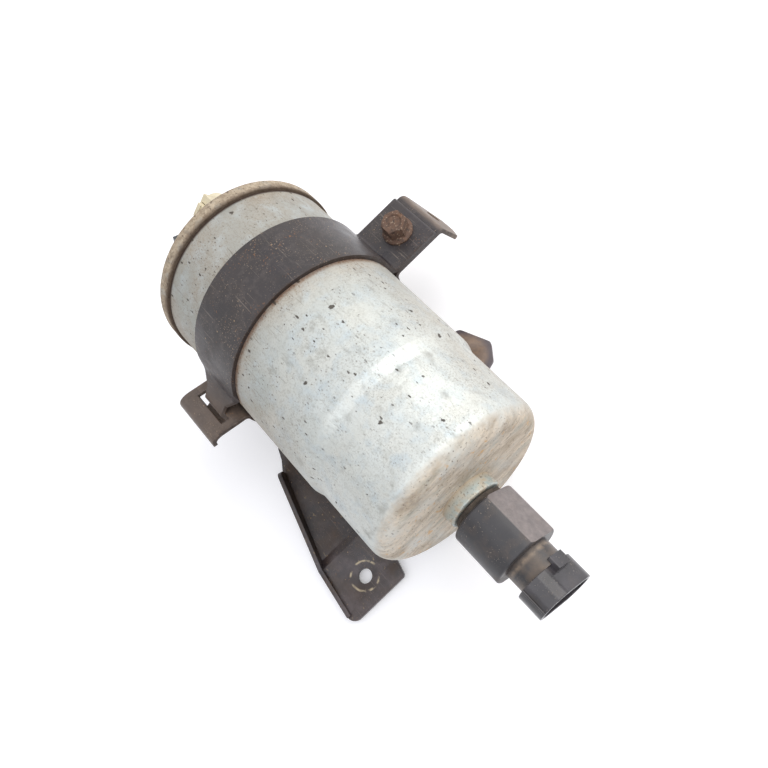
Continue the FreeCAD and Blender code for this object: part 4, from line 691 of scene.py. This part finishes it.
# %% Coupling plastics
for name, colour, pale, gloss, parts in (
        ("cream_nylon", "#CFC3A4", "#E6DFCB", 0.45, ("inlet_connector", "inlet_release_button")),
        ("dark_nylon", "#333B40", "#48525A", 0.4, ("outlet_connector",)),
        ("light_blue_nylon", "#7FA3B3", "#9DBBC6", 0.42, ("outlet_release_button",)),
        ("black_probe_nylon", "#29292B", "#353538", 0.4, ("sensor_stem", "float_stop")),
        ("duct_nylon", "#B8B4A6", "#CCC8BA", 0.5, ("outlet_duct",))):
    tree, shader, place, ground = moulded(name, colour, pale, gloss, "#8A7558", 0.5)
    tree.links.new(ground, shader.inputs["Base Color"])
    finish(name, *parts)

# %% [markdown]
# Inside the can the metals stay as they left the press: tinned end caps, a galvanised centre tube,
# a bright spring and a zinc-plated collar. Plated sheet shows faint rolling lines, so its cloud is
# stretched along one way.

# %% Clean and plated metals
def plated(name, colour, shade, across, roughness, parts):
    """A plated metal: two close tones in a cloud drawn out round the can, and a soft mirror."""
    material, tree, shader, place = start_finish(name, metallic=1.0)
    drawn = add(tree, "ShaderNodeMapping", {"Scale": (4.0, 0.5, 0.5)}, {"Vector": place}).outputs[0]
    lines = patches(tree, drawn, across, 0.3, 0.7)
    bloom = patches(tree, place, 12, 0.4, 0.75)
    tree.links.new(layers(tree, colour, (lines, shade), (times(tree, bloom, 0.35), "#9A958C")),
                   shader.inputs["Base Color"])
    tree.links.new(between(tree, either(tree, lines, bloom), roughness, roughness + 0.15),
                   shader.inputs["Roughness"])
    relief(tree, shader, (lines, 0.01))
    finish(name, *parts)


plated("tinned_steel_cap", "#C6C4BC", "#B2B0A8", 3.0, 0.32, ("top_end_cap", "bottom_end_cap"))
plated("galvanised_tube", "#B4BBBF", "#98A0A5", 6.0, 0.4, ("centre_tube",))
plated("spring_steel", "#8E8C88", "#6F6D6A", 1.5, 0.3, ("element_spring",))
plated("yellow_brass_terminal", "#C9A65C", "#B08D48", 1.2, 0.28,
       ("terminal_power", "terminal_signal", "terminal_ground"))
plated("plated_steel_cover", "#B9BDBD", "#A29F96", 5.0, 0.42,
       ("cover_plate", "inlet_spigot", "outlet_spigot"))

material, tree, shader, place = start_finish("zinc_plated_collar", metallic=0.6)
clouds = patches(tree, place, 4, 0.35, 0.7)
at_root = ramp(tree, add(tree, "ShaderNodeSeparateXYZ", {}, {0: place}).outputs["X"],
               can_end + 3.5, can_end)
dirt = either(tree, times(tree, patches(tree, place, 4, 0.45, 0.65), 0.8),
              times(tree, at_root, 0.9))
tree.links.new(layers(tree, "#A3AEAC", (clouds, "#C6C9C1"), (dirt, "#BEAD95"),
                      (times(tree, patches(tree, place, 0.9, 0.56, 0.68), 0.7), "#6A5D4F")),
               shader.inputs["Base Color"])
tree.links.new(between(tree, dirt, 0.5, 0.8), shader.inputs["Roughness"])
relief(tree, shader, (patches(tree, place, 3, 0.3, 0.7), 0.06))
finish("zinc_plated_collar", "sensor_collar")

# %% [markdown]
# The filter paper is a pleated sheet of resin-treated cellulose: matt, straw coloured and fibrous.
# Rubber seals are matt black with a bloom. Each gets the grain of what it is made of.

# %% Paper, rubber, glass and the rest
material, tree, shader, place = start_finish("pleated_filter_paper")
fibres = add(tree, "ShaderNodeMapping", {"Scale": (0.25, 1.0, 1.0)}, {"Vector": place}).outputs[0]
fibres = patches(tree, fibres, 0.8, 0.3, 0.7, rough=0.7)
tree.links.new(layers(tree, "#D8C795", (fibres, "#C5AF78"),
                      (times(tree, patches(tree, place, 20, 0.4, 0.7), 0.4), "#9C8758")),
               shader.inputs["Base Color"])
shader.inputs["Roughness"].default_value = 0.85
relief(tree, shader, (fibres, 0.05))
finish("pleated_filter_paper", "filter_paper")

for name, colour, pale, grit, roughness, parts in (
        ("nitrile_rubber", "#1B1B1C", "#2E2D2D", 0.9, 0.62,
         ("cover_gasket", "element_seal", "inlet_connector_seal", "outlet_connector_seal")),
        ("dusty_nitrile_rubber", "#332D29", "#574D44", 1.6, 0.85, ("sensor_seal",)),
        ("closed_cell_float_foam", "#2B2A29", "#474441", 0.7, 0.9, ("water_float",)),
        ("sintered_ferrite_magnet", "#3A3A3D", "#4A4A4D", 0.4, 0.5, ("float_magnet",)),
        ("reed_switch_glass", "#A9BDB6", "#BFD0C9", 3.0, 0.08, ("reed_switch",))):
    material, tree, shader, place = start_finish(name)
    grain = patches(tree, place, grit, 0.3, 0.7)
    tree.links.new(layers(tree, colour, (grain, pale)), shader.inputs["Base Color"])
    tree.links.new(between(tree, patches(tree, place, 5, 0.3, 0.7), roughness, roughness * 1.1),
                   shader.inputs["Roughness"])
    relief(tree, shader, (grain, 0.03))
    finish(name, *parts)

material, tree, shader, place = start_finish("green_glass_epoxy_board")
track = add(tree, "ShaderNodeTexBrick",
            {"Scale": 0.35, "Mortar Size": 0.09, "offset": 0.5, "Color1": (1, 1, 1, 1),
             "Color2": (1, 1, 1, 1), "Mortar": (0, 0, 0, 1)}, {"Vector": place})
tree.links.new(layers(tree, "#1F5A3A", (track.outputs["Fac"], "#3E8558"),
                      (specks(tree, place, 3.1, 0.5), "#C8C4B8")), shader.inputs["Base Color"])
shader.inputs["Roughness"].default_value = 0.35
relief(tree, shader, (track.outputs["Fac"], 0.03))
finish("green_glass_epoxy_board", "circuit_board")
bare = [name for name, part in frame["nodes"].items()
        if part.data.materials[0].node_tree.nodes.get("Principled BSDF") is None]
print(len(frame["nodes"]), "parts have a finish;", "without one:", bare)
